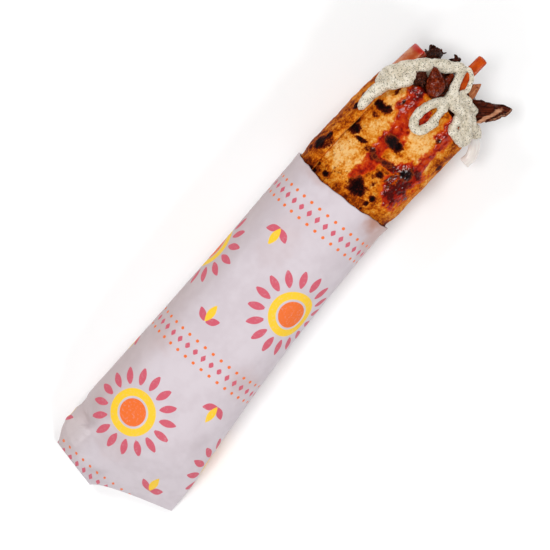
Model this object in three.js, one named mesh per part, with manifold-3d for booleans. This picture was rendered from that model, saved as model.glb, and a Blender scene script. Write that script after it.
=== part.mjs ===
// A gyro wrap lying on a table: a blistered flatbread rolled round meat, tomato, pepper and onion,
// drizzled with a thick white sauce at its open mouth, and held in a paper whose end is folded under.
// Units are millimetres. +X runs along the roll towards the mouth, +Z is up, and the origin is under
// the middle of the whole wrap, on the surface that it lies on.
import * as THREE from "three";
import { mergeVertices } from "three/addons/utils/BufferGeometryUtils.js";
import Module from "manifold-3d";

// Driving dimensions of the roll, measured from the paper's folded end at x = 0
const ROLL_HALF_WIDTH = 25.6;
const ROLL_HALF_HEIGHT = 23;
const PAPER_TOP_X = 179.5;
const RIM_SIDE_X = 227;
const RIM_CROWN = 10.6;
const MOUND_START_X = 234;
const MOUND_LENGTH = 19.5;

// The paper spreads and flattens towards its folded end
const END_SPREAD = 6.2;
const END_SPREAD_REACH = 85;
const END_WEDGE_START = 3;
const END_WEDGE_REACH = 29;
const FOLD_TIP_Y = 2;
const FOLD_SLOPE_LEFT = 0.21;
const FOLD_BEND_RIGHT = 1.19;
const FOLD_REACH = 60;
const CORNER_CUT = 3.4;
const CORNER_REACH = 6;
const FLAP_THICKNESS = 1.3;
const FLAP_LENGTH = 39;

// Thicknesses, and the clearance that neighbours keep
const PAPER_THICKNESS = 0.5;
const PAPER_SLACK = 0.6;
const BREAD_WALL = 2.4;
const GAP = 0.4;
const FACET_DEPTH = 0.1;

// The section is a squarish oval that rests on a flat belly
const SQUARENESS = 2.2;
const FLAT_DEPTH = 1.2;

// The bread is a spiral of one turn and a lap. Its outer edge lies on top, a little to the +Y side.
const LAP_EDGE = THREE.MathUtils.degToRad(45);
const LAP_OVERLAP = THREE.MathUtils.degToRad(75);
const LAP_RISE = THREE.MathUtils.degToRad(70);

const COLOURS = {
  paper: 0xdcd2d6,
  bread: 0xd9903c,
  filling: 0x4a2216,
  whiteSauce: 0xd9d8ca,
  tomato: 0xd8553a,
  pepper: 0xd9520f,
  paleMeat: 0xb0704a,
  darkMeat: 0x3a1a12,
  onion: 0xece2da,
};

const wasm = await Module();
wasm.setup();

const { degToRad, smoothstep, lerp, clamp } = THREE.MathUtils;

// The shape of the roll. Every skin of it is this section, inset by its depth below the paper's face.

// How much narrower the folded end is at its +Y corner
function cornerCut(x) {
  return CORNER_CUT * Math.exp(-((x / CORNER_REACH) ** 2));
}

function halfWidth(x) {
  return ROLL_HALF_WIDTH + END_SPREAD * Math.exp(-((x / END_SPREAD_REACH) ** 2)) - cornerCut(x) / 2;
}

function halfHeight(x) {
  return ROLL_HALF_HEIGHT * (1 - Math.exp(-(x + END_WEDGE_START) / END_WEDGE_REACH));
}

function centreY(x) {
  const endSway = -2.6 * Math.exp(-((x / 75) ** 2));
  const mouthSway = -3.6 * (Math.max(0, x - 172) / 58) ** 1.3;
  return 0.2 + endSway + mouthSway - cornerCut(x) / 2;
}

function undersideZ(x) {
  return FLAP_THICKNESS * (1 - smoothstep(x, 30, 54));
}

// The folded end is not square: it runs back from a tip, straight on the +Y side and bowed on the other
function foldShift(x, y) {
  const away = Math.abs(y - FOLD_TIP_Y);
  const back = y > FOLD_TIP_Y ? FOLD_SLOPE_LEFT * away : FOLD_BEND_RIGHT * away ** 0.7;
  return back * (1 - smoothstep(x, 0, FOLD_REACH));
}

// A point of the section at x. Angle 0 is the +Y side, and a quarter turn is the top.
function sectionPoint(x, angle, inset, scale = 1, rise = scale) {
  const power = 2 / SQUARENESS;
  const c = Math.cos(angle);
  const s = Math.sin(angle);
  const across = (halfWidth(x) - inset) * scale * Math.sign(c) * Math.abs(c) ** power;
  const up = (halfHeight(x) - inset) * rise * Math.sign(s) * Math.abs(s) ** power;
  const centre = sectionCentre(x);
  const y = centre.y + across;
  return new THREE.Vector3(x + foldShift(x, y), y, Math.max(undersideZ(x) + inset, centre.z + up));
}

function sectionCentre(x) {
  return new THREE.Vector3(x, centreY(x), undersideZ(x) + halfHeight(x) - FLAT_DEPTH);
}

// Two ways to close a surface. A skin starts at a pole, passes rings of points and ends at a pole.
// A sheet has a front and a back grid of points, joined along their four borders.

function skin(startPole, rings, endPole) {
  const columns = rings[0].length;
  const points = [startPole, ...rings.flat(), endPole];
  const at = (row, column) => 1 + row * columns + (column % columns);
  const faces = [];
  for (let c = 0; c < columns; c++) {
    faces.push(0, at(0, c + 1), at(0, c));
    for (let r = 0; r + 1 < rings.length; r++) {
      faces.push(at(r, c), at(r, c + 1), at(r + 1, c + 1));
      faces.push(at(r, c), at(r + 1, c + 1), at(r + 1, c));
    }
    faces.push(at(rings.length - 1, c), at(rings.length - 1, c + 1), points.length - 1);
  }
  return indexed(points, faces);
}

function sheet(front, back) {
  const rows = front.length;
  const columns = front[0].length;
  const points = [...front.flat(), ...back.flat()];
  const at = (side, row, column) => side * rows * columns + row * columns + column;
  const faces = [];
  const quad = (a, b, c, d) => faces.push(a, b, c, a, c, d);
  for (let r = 0; r + 1 < rows; r++) {
    for (let c = 0; c + 1 < columns; c++) {
      quad(at(0, r, c), at(0, r, c + 1), at(0, r + 1, c + 1), at(0, r + 1, c));
      quad(at(1, r, c), at(1, r + 1, c), at(1, r + 1, c + 1), at(1, r, c + 1));
    }
    quad(at(0, r, 0), at(0, r + 1, 0), at(1, r + 1, 0), at(1, r, 0));
    const last = columns - 1;
    quad(at(0, r, last), at(1, r, last), at(1, r + 1, last), at(0, r + 1, last));
  }
  for (let c = 0; c + 1 < columns; c++) {
    quad(at(0, 0, c), at(1, 0, c), at(1, 0, c + 1), at(0, 0, c + 1));
    const last = rows - 1;
    quad(at(0, last, c), at(0, last, c + 1), at(1, last, c + 1), at(1, last, c));
  }
  return indexed(points, faces);
}

function indexed(points, faces) {
  const geometry = new THREE.BufferGeometry().setFromPoints(points);
  geometry.setIndex(faces);
  return geometry;
}

function ring(columns, pointAt) {
  return Array.from({ length: columns }, (_, c) => pointAt((c / columns) * 2 * Math.PI));
}

function spaced(from, to, count) {
  return Array.from({ length: count }, (_, i) => from + ((to - from) * i) / (count - 1));
}

// Solids for joining and cutting, and back to three.js geometry

function solidOf(geometry) {
  const bare = geometry.clone();
  bare.deleteAttribute("normal");
  bare.deleteAttribute("uv");
  const merged = mergeVertices(bare, 1e-4);
  return new wasm.Manifold(
    new wasm.Mesh({
      numProp: 3,
      vertProperties: merged.attributes.position.array,
      triVerts: new Uint32Array(merged.index.array),
    }),
  );
}

function geometryOf(solid) {
  const mesh = solid.getMesh();
  const geometry = new THREE.BufferGeometry();
  geometry.setAttribute("position", new THREE.BufferAttribute(mesh.vertProperties, 3));
  geometry.setIndex(new THREE.BufferAttribute(mesh.triVerts, 1));
  geometry.computeVertexNormals();
  return geometry;
}

function largestBody(solid) {
  return solid.decompose().sort((a, b) => b.volume() - a.volume())[0];
}

// The paper, the bread and the filling share these stations, so their flat faces run in step
const HIDDEN_STATIONS = [30, 42, 58, 80, 112, 150];

// Paper: a thin sleeve, flattened at its end, with the end's flap folded back underneath

const PAPER_COLUMNS = 40;

function paperTopX(angle) {
  return PAPER_TOP_X + 0.7 * Math.cos(2 * angle) + 0.4 * Math.sin(3 * angle + 1);
}

function makePaper() {
  const stationRing = (x, inset) => ring(PAPER_COLUMNS, (angle) => sectionPoint(x, angle, inset));
  const edgePoint = (angle, inset) => sectionPoint(paperTopX(angle), angle, inset);
  const edgeRing = (inset) => ring(PAPER_COLUMNS, (angle) => edgePoint(angle, inset));
  const rings = [
    ...[0, 1.5, 4, 8, 13, 20, ...HIDDEN_STATIONS].map((x) => stationRing(x, 0)),
    edgeRing(0),
    edgeRing(PAPER_THICKNESS),
    ...[8, 12, 20, ...HIDDEN_STATIONS].reverse().map((x) => stationRing(x, PAPER_THICKNESS)),
  ];
  const sleeve = solidOf(skin(sectionCentre(-0.3), rings, sectionCentre(7.4)));
  return sleeve.add(solidOf(makeFlap()));
}

// The folded end lies flat under the belly: a plate that narrows away from the fold
function makeFlap() {
  const outline = new THREE.Shape();
  outline.moveTo(5.8, 22.5);
  outline.lineTo(0.8, 3);
  outline.lineTo(14.6, -31);
  outline.lineTo(FLAP_LENGTH - 4, -21);
  outline.quadraticCurveTo(FLAP_LENGTH + 1, -2, FLAP_LENGTH - 8, 18);
  outline.closePath();
  return new THREE.ExtrudeGeometry(outline, {
    depth: FLAP_THICKNESS + 0.3,
    bevelEnabled: false,
    curveSegments: 6,
  });
}

// Bread: a sheet rolled into a spiral, with blisters where it shows

// Raised blisters: place along the roll, angle round it in degrees, radius and height
const BLISTERS = [
  { x: 191, angle: 112, radius: 9, height: 0.9 },
  { x: 187, angle: 68, radius: 9, height: 0.8 },
  { x: 209, angle: 74, radius: 9, height: 0.9 },
  { x: 212, angle: 118, radius: 10, height: 0.8 },
  { x: 186, angle: 142, radius: 8, height: 0.7 },
  { x: 200, angle: 40, radius: 8, height: 0.7 },
  { x: 204, angle: 155, radius: 9, height: 0.8 },
  { x: 190, angle: 200, radius: 10, height: 0.9 },
  { x: 212, angle: 225, radius: 9, height: 0.7 },
  { x: 196, angle: 325, radius: 9, height: 0.8 },
  { x: 214, angle: 345, radius: 8, height: 0.7 },
];

function blisterHeight(x, angle) {
  return BLISTERS.reduce((height, blister) => {
    const turn = angle - degToRad(blister.angle);
    const round = Math.atan2(Math.sin(turn), Math.cos(turn)) * ROLL_HALF_WIDTH;
    const away = Math.hypot(x - blister.x, round) / blister.radius;
    return height + blister.height * Math.exp(-2 * away * away);
  }, 0);
}

function rimX(angle) {
  const s = Math.sin(angle);
  const crown = s > 0 ? RIM_CROWN * s ** 0.5 : 4 * s;
  return RIM_SIDE_X + crown + 0.7 * Math.sin(5 * angle + 1) + 0.4 * Math.sin(11 * angle);
}

// Depth of the bread's outer face below the paper's, at a turn along its spiral from the outer edge.
// The bread swells where it leaves the paper, and dives under its own outer edge late in the turn.
function breadInset(x, turn) {
  const free = smoothstep(x, PAPER_TOP_X + 1.5, PAPER_TOP_X + 7);
  const swell = blisterHeight(x, LAP_EDGE - turn) * (1 - smoothstep(turn, 4.6, 5.6));
  const face = lerp(PAPER_THICKNESS + PAPER_SLACK, Math.max(0.3 - swell, -0.6), free);
  const dive = (BREAD_WALL + GAP) * smoothstep(turn, 2 * Math.PI - LAP_RISE, 2 * Math.PI - 0.1);
  return face + dive;
}

function breadPoint(x, turn, depth) {
  return sectionPoint(x, LAP_EDGE - turn, breadInset(x, turn) + depth);
}

const BREAD_TURN = 2 * Math.PI + LAP_OVERLAP;
const BREAD_SHOWN_START_X = PAPER_TOP_X + 1;

// A stretch of the spiral from one turn to another, with its faces moved out by growth
function breadStretch(from, to, columns, growth) {
  const turns = spaced(from, to, columns);
  const face = (depth, rounding) => [
    ...HIDDEN_STATIONS.map((x) => turns.map((turn) => breadPoint(x, turn, depth))),
    ...spaced(0, 1, 9).map((share) =>
      turns.map((turn) => {
        const end = rimX(LAP_EDGE - turn) + growth - rounding;
        return breadPoint(lerp(BREAD_SHOWN_START_X, end, share), turn, depth);
      }),
    ),
  ];
  return solidOf(sheet(face(BREAD_WALL + growth, 0), face(-growth, 0.6)));
}

// The room that the bread needs, in two stretches because its layers touch once they are grown
function breadRoom() {
  const edge = (2 * GAP) / ROLL_HALF_WIDTH;
  const inner = breadStretch(Math.PI, BREAD_TURN + edge, 27, GAP + FACET_DEPTH);
  return inner.add(breadStretch(-edge, Math.PI, 24, GAP + FACET_DEPTH));
}

// Filling: a core of packed meat that runs through the bread and mounds up past its rim

const CORE_COLUMNS = 34;
const MOUND_INSET = 4;

// Inside the bread the core fills what the innermost layer leaves free
function coreInset(x, angle) {
  const turn = THREE.MathUtils.euclideanModulo(LAP_EDGE - angle, 2 * Math.PI);
  const innermost = turn < LAP_OVERLAP + 0.25 ? turn + 2 * Math.PI : turn;
  const inBread = breadInset(x, innermost) + BREAD_WALL + GAP + 2 * FACET_DEPTH;
  const pastRim = RIM_SIDE_X + RIM_CROWN + 2;
  return lerp(inBread, MOUND_INSET, smoothstep(x, pastRim, pastRim + 6));
}

// The mound narrows to its tip like an ellipse, and loses its height later
function moundScale(x) {
  const share = clamp((x - MOUND_START_X) / MOUND_LENGTH, 0, 1);
  return (1 - share * share) ** 0.5;
}

function moundRise(x) {
  return moundScale(x) ** 0.5;
}

function makeCore(growth = 0) {
  const stations = [...HIDDEN_STATIONS.slice(1), 181, 196, 212, 226, MOUND_START_X];
  const moundX = (share) => MOUND_START_X + MOUND_LENGTH * Math.sin((share * Math.PI) / 2);
  const mound = spaced(0.2, 0.97, 7).map(moundX);
  const rings = [...stations, ...mound].map((x) =>
    ring(CORE_COLUMNS, (angle) => {
      const inset = coreInset(x, angle) - growth;
      const point = sectionPoint(x, angle, inset, moundScale(x), moundRise(x));
      point.x += x > MOUND_START_X ? growth : 0;
      return point;
    }),
  );
  const tip = sectionCentre(MOUND_START_X + MOUND_LENGTH + growth);
  return solidOf(skin(sectionCentre(HIDDEN_STATIONS[1] - 1), rings, tip));
}

// Height of what a drizzle lies on: the bread's top as far as its rim, and then the mound
function topZ(x, y) {
  const heightAt = (inset, scale, rise) => {
    const across = (halfWidth(x) - inset) * scale;
    const share = Math.min(1, Math.abs(y - centreY(x)) / across);
    const up = (halfHeight(x) - inset) * rise * (1 - share ** SQUARENESS) ** (1 / SQUARENESS);
    return halfHeight(x) - FLAT_DEPTH + up;
  };
  const onMound = heightAt(MOUND_INSET, moundScale(x), moundRise(x));
  return lerp(heightAt(0.3, 1, 1), onMound, smoothstep(x, RIM_SIDE_X + 7, RIM_SIDE_X + 16));
}

// Pieces stuck into the filling, each made at its own size, or grown by the clearance for its pocket

// A stick of rectangular section from one point to another, wide side level, narrowed at its far end
function stick(from, to, width, thickness, growth, taper = 1) {
  const start = new THREE.Vector3(...from);
  const end = new THREE.Vector3(...to);
  const length = start.distanceTo(end);
  const geometry = new THREE.BoxGeometry(length + 2 * growth, 2, 2, 4);
  const position = geometry.attributes.position;
  for (let i = 0; i < position.count; i++) {
    const along = position.getX(i) / length + 0.5;
    const narrow = lerp(1, taper, smoothstep(along, 0.3, 1));
    const thin = Math.min(1, narrow + 0.25);
    position.setY(i, position.getY(i) * ((width / 2) * narrow + growth));
    position.setZ(i, position.getZ(i) * ((thickness / 2) * thin + growth));
  }
  const direction = end.clone().sub(start).normalize();
  const side = new THREE.Vector3(0, 0, 1).cross(direction).normalize();
  const up = direction.clone().cross(side);
  geometry.applyMatrix4(new THREE.Matrix4().makeBasis(direction, side, up));
  geometry.translate(...start.add(end).multiplyScalar(0.5).toArray());
  return solidOf(geometry);
}

// A wedge of tomato: a sector whose round skin looks up and out, swept straight along the roll
function tomatoWedge(growth) {
  const radius = 10 + growth;
  const length = 15.6 + 2 * growth;
  const opening = degToRad(58);
  const widened = Math.asin(growth / radius);
  const back = growth / Math.sin(opening / 2);
  const sector = new THREE.Shape();
  sector.moveTo(-back * Math.cos(opening / 2), -back * Math.sin(opening / 2));
  sector.lineTo(radius * Math.cos(widened), -radius * Math.sin(widened));
  sector.absarc(0, 0, radius, -widened, opening + widened, false);
  sector.closePath();
  const geometry = new THREE.ExtrudeGeometry(sector, {
    depth: length,
    bevelEnabled: false,
    curveSegments: 7,
  });
  geometry.translate(0, 0, -length / 2);
  geometry.rotateZ(degToRad(24));
  geometry.rotateX(Math.PI / 2);
  geometry.rotateZ(Math.PI / 2);
  geometry.rotateX(degToRad(-14));
  geometry.rotateZ(degToRad(-8));
  geometry.translate(242.4, 8.8, 28.5);
  return solidOf(geometry);
}

// The long slice of meat that hangs out sideways: a leaf outline, tipped down towards its point
function meatStrip(growth) {
  const outline = new THREE.Shape();
  outline.moveTo(-8, -5);
  outline.lineTo(3, -7);
  outline.lineTo(12, -5);
  outline.lineTo(20.5, -1);
  outline.lineTo(20, 1.4);
  outline.lineTo(11, 3.4);
  outline.lineTo(2, 5);
  outline.lineTo(-8, 5);
  outline.closePath();
  const thickness = 3.4;
  const geometry = new THREE.ExtrudeGeometry(outline, { depth: thickness, bevelEnabled: false });
  geometry.translate(0, 0, -thickness / 2);
  geometry.scale(1 + growth / 10, 1 + growth / 5, 1 + (2 * growth) / thickness);
  geometry.rotateX(degToRad(-18));
  geometry.rotateY(degToRad(9));
  geometry.rotateZ(degToRad(-52));
  geometry.translate(243.2, -18.7, 31);
  return solidOf(geometry);
}

// A slice of onion: a flat band that hooks over the rim and hangs outside the bread
function onionSlice(growth) {
  const path = new THREE.CatmullRomCurve3([
    new THREE.Vector3(224 - growth, -33.6, 21.2),
    new THREE.Vector3(228, -34.1, 22.6),
    new THREE.Vector3(232.4, -32.6, 24.6),
    new THREE.Vector3(235.2, -29.6, 27.2),
    new THREE.Vector3(236.4, -24.4 + growth, 29.6),
  ]);
  const halfBroad = 2.6 + growth;
  const halfThick = 0.8 + growth;
  const band = new THREE.Shape();
  band.moveTo(-halfBroad, -halfThick);
  band.lineTo(halfBroad, -halfThick);
  band.lineTo(halfBroad, halfThick);
  band.lineTo(-halfBroad, halfThick);
  band.closePath();
  const settings = { steps: 10, bevelEnabled: false, extrudePath: path };
  return solidOf(new THREE.ExtrudeGeometry(band, settings));
}

// A rough nugget: a ball of few faces with its corners pushed in and out by turns
function nugget(centre, radii, turn, growth) {
  const geometry = new THREE.IcosahedronGeometry(1, 1);
  const position = geometry.attributes.position;
  for (let i = 0; i < position.count; i++) {
    const bump = 1 + 0.12 * Math.sin(9 * position.getX(i) + 7 * position.getY(i) - 8 * position.getZ(i));
    position.setXYZ(i, bump * position.getX(i), bump * position.getY(i), bump * position.getZ(i));
  }
  geometry.scale(...radii.map((radius) => radius + 1.1 * growth));
  geometry.rotateZ(degToRad(turn));
  geometry.translate(...centre);
  return solidOf(geometry);
}

const { tomato, pepper, paleMeat, darkMeat, onion } = COLOURS;

const pepperStick = (g) => stick([243, -8.4, 31], [265.2, -10.4, 31.4], 5.4, 4.4, g, 0.9);
const pepperSlice = (g) => stick([246, -11.4, 36.2], [256.6, -8.8, 34.6], 4.4, 2.6, g, 0.8);
const meatPale = (g) => stick([242, -14.6, 31.8], [255.6, -15, 31], 4.8, 3, g, 0.4);
const meatSliver = (g) => stick([238.6, -4.8, 39.2], [251.4, -4.2, 36.6], 4.2, 2.4, g, 0.6);
const meatCurl = (g) => stick([249.4, 0, 31.4], [258.6, -1.4, 30.4], 3, 1.8, g, 0.8);
const meatChunk = (g) => nugget([243.2, -0.8, 43.6], [6.6, 4.2, 3.2], 42, g);
const meatFlake = (g) => nugget([240.4, 5.6, 42.2], [3.4, 2.4, 2], -20, g);
const meatLump = (g) => nugget([250.8, 7.6, 30.4], [4.8, 4.6, 4], -25, g);

const PIECES = {
  tomato_wedge: { colour: tomato, make: tomatoWedge },
  pepper_stick: { colour: pepper, make: pepperStick },
  pepper_slice: { colour: pepper, make: pepperSlice },
  meat_pale: { colour: paleMeat, make: meatPale },
  meat_strip: { colour: darkMeat, make: meatStrip },
  meat_chunk: { colour: darkMeat, make: meatChunk },
  meat_sliver: { colour: darkMeat, make: meatSliver },
  meat_flake: { colour: darkMeat, make: meatFlake },
  meat_lump: { colour: darkMeat, make: meatLump },
  meat_curl: { colour: darkMeat, make: meatCurl },
  onion_slice: { colour: onion, make: onionSlice },
};

// White sauce: ropes squeezed over the rim and the mound. A route is seen from above, with a height where
// the rope bridges a gap, and a radius goes with each of its points.

const STRANDS = [
  {
    route: [[213.3, 17.4], [218.6, 17.8], [223.9, 18], [229.2, 17.6], [234.5, 16.2], [239.7, 13.9]],
    radii: [1.9, 2.2, 2.6, 3, 3.2, 3.2],
  },
  {
    route: [[239.7, 13.9], [244.8, 8.9], [249.2, 3.2, 38.4], [253, -2.2, 36.8], [256.4, -6.2, 35.6]],
    radii: [3.2, 3.3, 3.3, 2.9, 2],
  },
  {
    route: [[228.4, 14.6], [233.6, 11.9], [238.6, 9.2], [243.2, 5.8], [246.6, 3.2]],
    radii: [2.6, 3, 3, 2.8, 2.4],
  },
  {
    route: [[256, -6.2, 35.8], [252.8, -6.8, 37.4], [247.1, -8.6, 39.6], [241.5, -9.9], [236.3, -10.9]],
    radii: [2, 2, 2.1, 2.1, 2],
  },
  { route: [[236.3, -10.9], [230.4, -11.3], [225.8, -10.6]], radii: [2, 2, 2.1] },
  {
    route: [[225.8, -10.6], [222.9, -8.9], [222.7, -5.9], [225.6, -4.1], [231, -3.6]],
    radii: [2.1, 2.1, 2.1, 2.1, 2.1],
  },
  {
    route: [[231, -3.6], [236.4, -4.4], [241, -8.2]],
    radii: [2.1, 2, 2],
  },
  {
    route: [[256, -5.8, 36], [257.2, -8.6, 35.8], [255.4, -11.6, 35.8], [252.4, -13, 36.4]],
    radii: [1.1, 1, 1, 1],
  },
  {
    route: [[252.4, -13, 36.4], [249.4, -13.2, 37], [246.8, -12.4, 38.2], [244.4, -10.8, 39.4]],
    radii: [1, 1, 1.1, 1.2],
  },
  {
    route: [[242.8, -10.4], [244.8, -13.4], [244.4, -17], [241.4, -20.6], [236.4, -24.6]],
    radii: [2.6, 3, 3.2, 3.2, 3],
  },
  {
    route: [[236.4, -24.6], [232.4, -26.8], [233.8, -28.8], [237.4, -27.2], [241.2, -22.6]],
    radii: [3, 2.7, 2.4, 2.6, 2.6],
  },
  {
    route: [[240.6, -12.4], [239.8, -15.6], [235.6, -19.4], [231, -23.2], [229.8, -26]],
    radii: [2.6, 2.9, 3, 2.8, 2],
  },
];
const STRAND_SIDES = 7;
const STRAND_STEP = 2.9;

// A rope is a round section along a route, sunk a little into what is under it, with blunt ends
function rope({ route, radii }) {
  const heightOf = (x, y, radius) => topZ(x, y) + 0.62 * radius;
  const points = route.map(([x, y, z], i) => new THREE.Vector3(x, y, z ?? heightOf(x, y, radii[i])));
  const path = new THREE.CatmullRomCurve3(points);
  const steps = Math.ceil(path.getLength() / STRAND_STEP);
  const frames = path.computeFrenetFrames(steps);
  const pointOn = (step) => path.getPointAt(step / steps);
  const radiusAt = (step) => {
    const at = path.getUtoTmapping(step / steps) * (radii.length - 1);
    const before = Math.min(Math.floor(at), radii.length - 2);
    return lerp(radii[before], radii[before + 1], at - before);
  };
  const round = (step, radius, ahead) =>
    ring(STRAND_SIDES, (angle) =>
      pointOn(step)
        .addScaledVector(frames.normals[step], radius * Math.cos(angle))
        .addScaledVector(frames.binormals[step], radius * Math.sin(angle))
        .addScaledVector(frames.tangents[step], ahead),
    );
  const body = spaced(0, steps, steps + 1).map((step) => round(step, radiusAt(step), 0));
  const bluntStart = round(0, 0.7 * radii[0], -0.6 * radii[0]);
  const bluntEnd = round(steps, 0.7 * radii.at(-1), 0.6 * radii.at(-1));
  const tip = (step, ahead) => pointOn(step).addScaledVector(frames.tangents[step], ahead);
  const start = tip(0, -0.85 * radii[0]);
  const end = tip(steps, 0.85 * radii.at(-1));
  return solidOf(skin(start, [bluntStart, ...body, bluntEnd], end));
}

// Shreds of meat over the open face of the mound, from a seeded draw

const SHRED_COUNT = 26;
const SHRED_SEED = 41;

function seededDraw(seed) {
  let state = seed;
  return () => {
    state = (state * 16807) % 2147483647;
    return state / 2147483647;
  };
}

function shredPlaces() {
  const draw = seededDraw(SHRED_SEED);
  return Array.from({ length: SHRED_COUNT }, (_, i) => {
    const turn = 2 * Math.PI * (i * 0.382 + 0.04 * draw());
    const out = Math.sqrt((i + 0.5) / SHRED_COUNT) * 0.92;
    const x = MOUND_START_X + MOUND_LENGTH * Math.sqrt(1 - out ** 2.4) - 3.6;
    const centre = sectionCentre(x);
    return {
      x,
      y: centre.y + out * (ROLL_HALF_WIDTH - MOUND_INSET) * Math.cos(turn),
      z: centre.z + out * (ROLL_HALF_HEIGHT - MOUND_INSET) * Math.sin(turn),
      size: [6 + 4 * draw(), 3.6 + 2.4 * draw(), 1.6 + 1.2 * draw()],
      roll: Math.PI * draw(),
      pitch: -0.9 + 1.8 * draw(),
      yaw: Math.PI * draw(),
    };
  });
}

function shred(place, growth) {
  const geometry = new THREE.BoxGeometry(...place.size.map((side) => side + 2 * growth));
  geometry.rotateX(place.roll);
  geometry.rotateY(place.pitch);
  geometry.rotateZ(place.yaw);
  geometry.translate(place.x, place.y, place.z);
  return solidOf(geometry);
}

// Assembly: the core has pockets for the pieces stuck into it, and the sauce is fitted over everything

const bread = breadStretch(0, BREAD_TURN, 52, 0);
const grownBread = breadRoom();
const made = {};
const grown = {};
for (const [name, { make }] of Object.entries(PIECES)) {
  const clear = Object.values(grown).reduce((piece, other) => piece.subtract(other), make(0));
  made[name] = largestBody(clear.subtract(grownBread));
  grown[name] = make(GAP);
}
const core = Object.values(grown).reduce((solid, piece) => solid.subtract(piece), makeCore());

const ropes = STRANDS.map(rope).reduce((all, strand) => all.add(strand));
const onBread = ropes.subtract(grownBread).subtract(makeCore(GAP));
const clearOfPieces = Object.values(grown).reduce((sauce, piece) => sauce.subtract(piece), onBread);
const whiteSauce = largestBody(clearOfPieces);

// A shred is left out where it would come too near to something else
const keptClear = [bread, whiteSauce, ...Object.values(made)];
const shreds = shredPlaces().filter((place) => {
  const room = shred(place, GAP);
  return keptClear.every((other) => room.intersect(other).volume() === 0);
});
const filling = shreds.reduce((solid, place) => solid.add(shred(place, 0)), largestBody(core));

const SOLIDS = {
  paper: { colour: COLOURS.paper, roughness: 0.7, solid: makePaper() },
  bread: { colour: COLOURS.bread, roughness: 0.6, solid: bread },
  filling: { colour: COLOURS.filling, roughness: 0.5, solid: largestBody(filling) },
  white_sauce: { colour: COLOURS.whiteSauce, roughness: 0.35, solid: whiteSauce },
};
for (const [name, { colour }] of Object.entries(PIECES)) {
  SOLIDS[name] = { colour, roughness: 0.4, solid: made[name] };
}

const wrap = new THREE.Group();
for (const [name, { colour, roughness, solid }] of Object.entries(SOLIDS)) {
  const material = new THREE.MeshStandardMaterial({ color: colour, roughness, metalness: 0 });
  const mesh = new THREE.Mesh(geometryOf(solid), material);
  mesh.name = name;
  wrap.add(mesh);
}

// The origin goes under the middle of the whole wrap
const box = new THREE.Box3().setFromObject(wrap);
const middle = box.getCenter(new THREE.Vector3());
wrap.position.set(-middle.x, -middle.y, -box.min.z);

export default wrap;
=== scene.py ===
# %% [markdown]
# # A gyro wrap in printed paper
# A flatbread is rolled round roast meat, tomato, pepper and onion, drizzled with white sauce at its
# open mouth, and held in a thin printed paper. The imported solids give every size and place. This
# script dresses each of them: it works out the surfaces with numpy and gives each its material.

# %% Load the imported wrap
import bpy
import numpy as np
from mathutils import Matrix, Vector


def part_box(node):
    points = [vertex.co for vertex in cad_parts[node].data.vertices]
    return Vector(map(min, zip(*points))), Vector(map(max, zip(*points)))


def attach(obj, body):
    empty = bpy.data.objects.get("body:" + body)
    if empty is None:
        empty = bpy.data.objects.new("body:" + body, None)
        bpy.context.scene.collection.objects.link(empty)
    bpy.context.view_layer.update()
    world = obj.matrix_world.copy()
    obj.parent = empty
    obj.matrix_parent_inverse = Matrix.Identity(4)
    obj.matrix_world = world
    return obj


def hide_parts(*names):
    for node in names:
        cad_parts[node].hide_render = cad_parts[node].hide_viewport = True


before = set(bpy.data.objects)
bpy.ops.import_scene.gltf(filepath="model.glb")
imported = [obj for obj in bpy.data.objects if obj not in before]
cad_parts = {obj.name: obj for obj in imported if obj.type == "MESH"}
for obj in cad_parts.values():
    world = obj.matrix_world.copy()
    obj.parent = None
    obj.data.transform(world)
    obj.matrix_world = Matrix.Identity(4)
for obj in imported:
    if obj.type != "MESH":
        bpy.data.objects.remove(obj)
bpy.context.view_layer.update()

# %% [markdown]
# # Measures
# The roll is easiest to think of in millimetres, with x counted from the folded end of the paper.
# The same few curves that shaped the solids give its width, height, sway and fold, so that every
# dressed surface lies where its solid lies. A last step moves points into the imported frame.

# %% Curves of the roll
MM = 0.001
HALF_WIDTH, HALF_HEIGHT = 25.6, 23
SQUARENESS = 2.2
FLAT_DEPTH = 1.2
CORNER_CUT, CORNER_REACH = 3.4, 6
SPREAD, SPREAD_REACH = 6.2, 85
RISE_LEAD, RISE_LENGTH = 3, 29
SWAY, SWAY_REACH = 2.6, 75
BEND, BEND_START, BEND_LENGTH = 3.6, 172, 58
FLAP_THICKNESS = 1.3


def smooth(x, low, high):
    """Zero below low, one above high, and a smooth S between them."""
    t = np.clip((x - low) / (high - low), 0, 1)
    return t * t * (3 - 2 * t)


def corner_cut(x):
    """How much narrower the folded end is at its left corner: a bell curve at the very end."""
    return CORNER_CUT * np.exp(-((x / CORNER_REACH) ** 2))


def half_width(x):
    """Half the roll's width: constant, plus a bell curve that spreads the folded end."""
    return HALF_WIDTH + SPREAD * np.exp(-((x / SPREAD_REACH) ** 2)) - corner_cut(x) / 2


def half_height(x):
    """Half the roll's height: it rises from the fold along an exponential and levels out."""
    return HALF_HEIGHT * (1 - np.exp(-(x + RISE_LEAD) / RISE_LENGTH))


def centre_y(x):
    """Sideways sway of the roll's middle: a little at the fold, and a bend towards the mouth."""
    bend = BEND * (np.maximum(0, x - BEND_START) / BEND_LENGTH) ** 1.3
    return 0.2 - SWAY * np.exp(-((x / SWAY_REACH) ** 2)) - bend - corner_cut(x) / 2


def underside(x):
    """Height of the roll's belly: it lies on the folded flap at the end, and on the table beyond."""
    return FLAP_THICKNESS * (1 - smooth(x, 30, 54))


def fold_shift(x, y):
    """How far the fold runs back from its tip: straight to the left, bowed to the right."""
    away = np.abs(y - 2)
    back = np.where(y > 2, 0.21 * away, 1.19 * away ** 0.7)
    return back * (1 - smooth(x, 0, 60))


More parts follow.
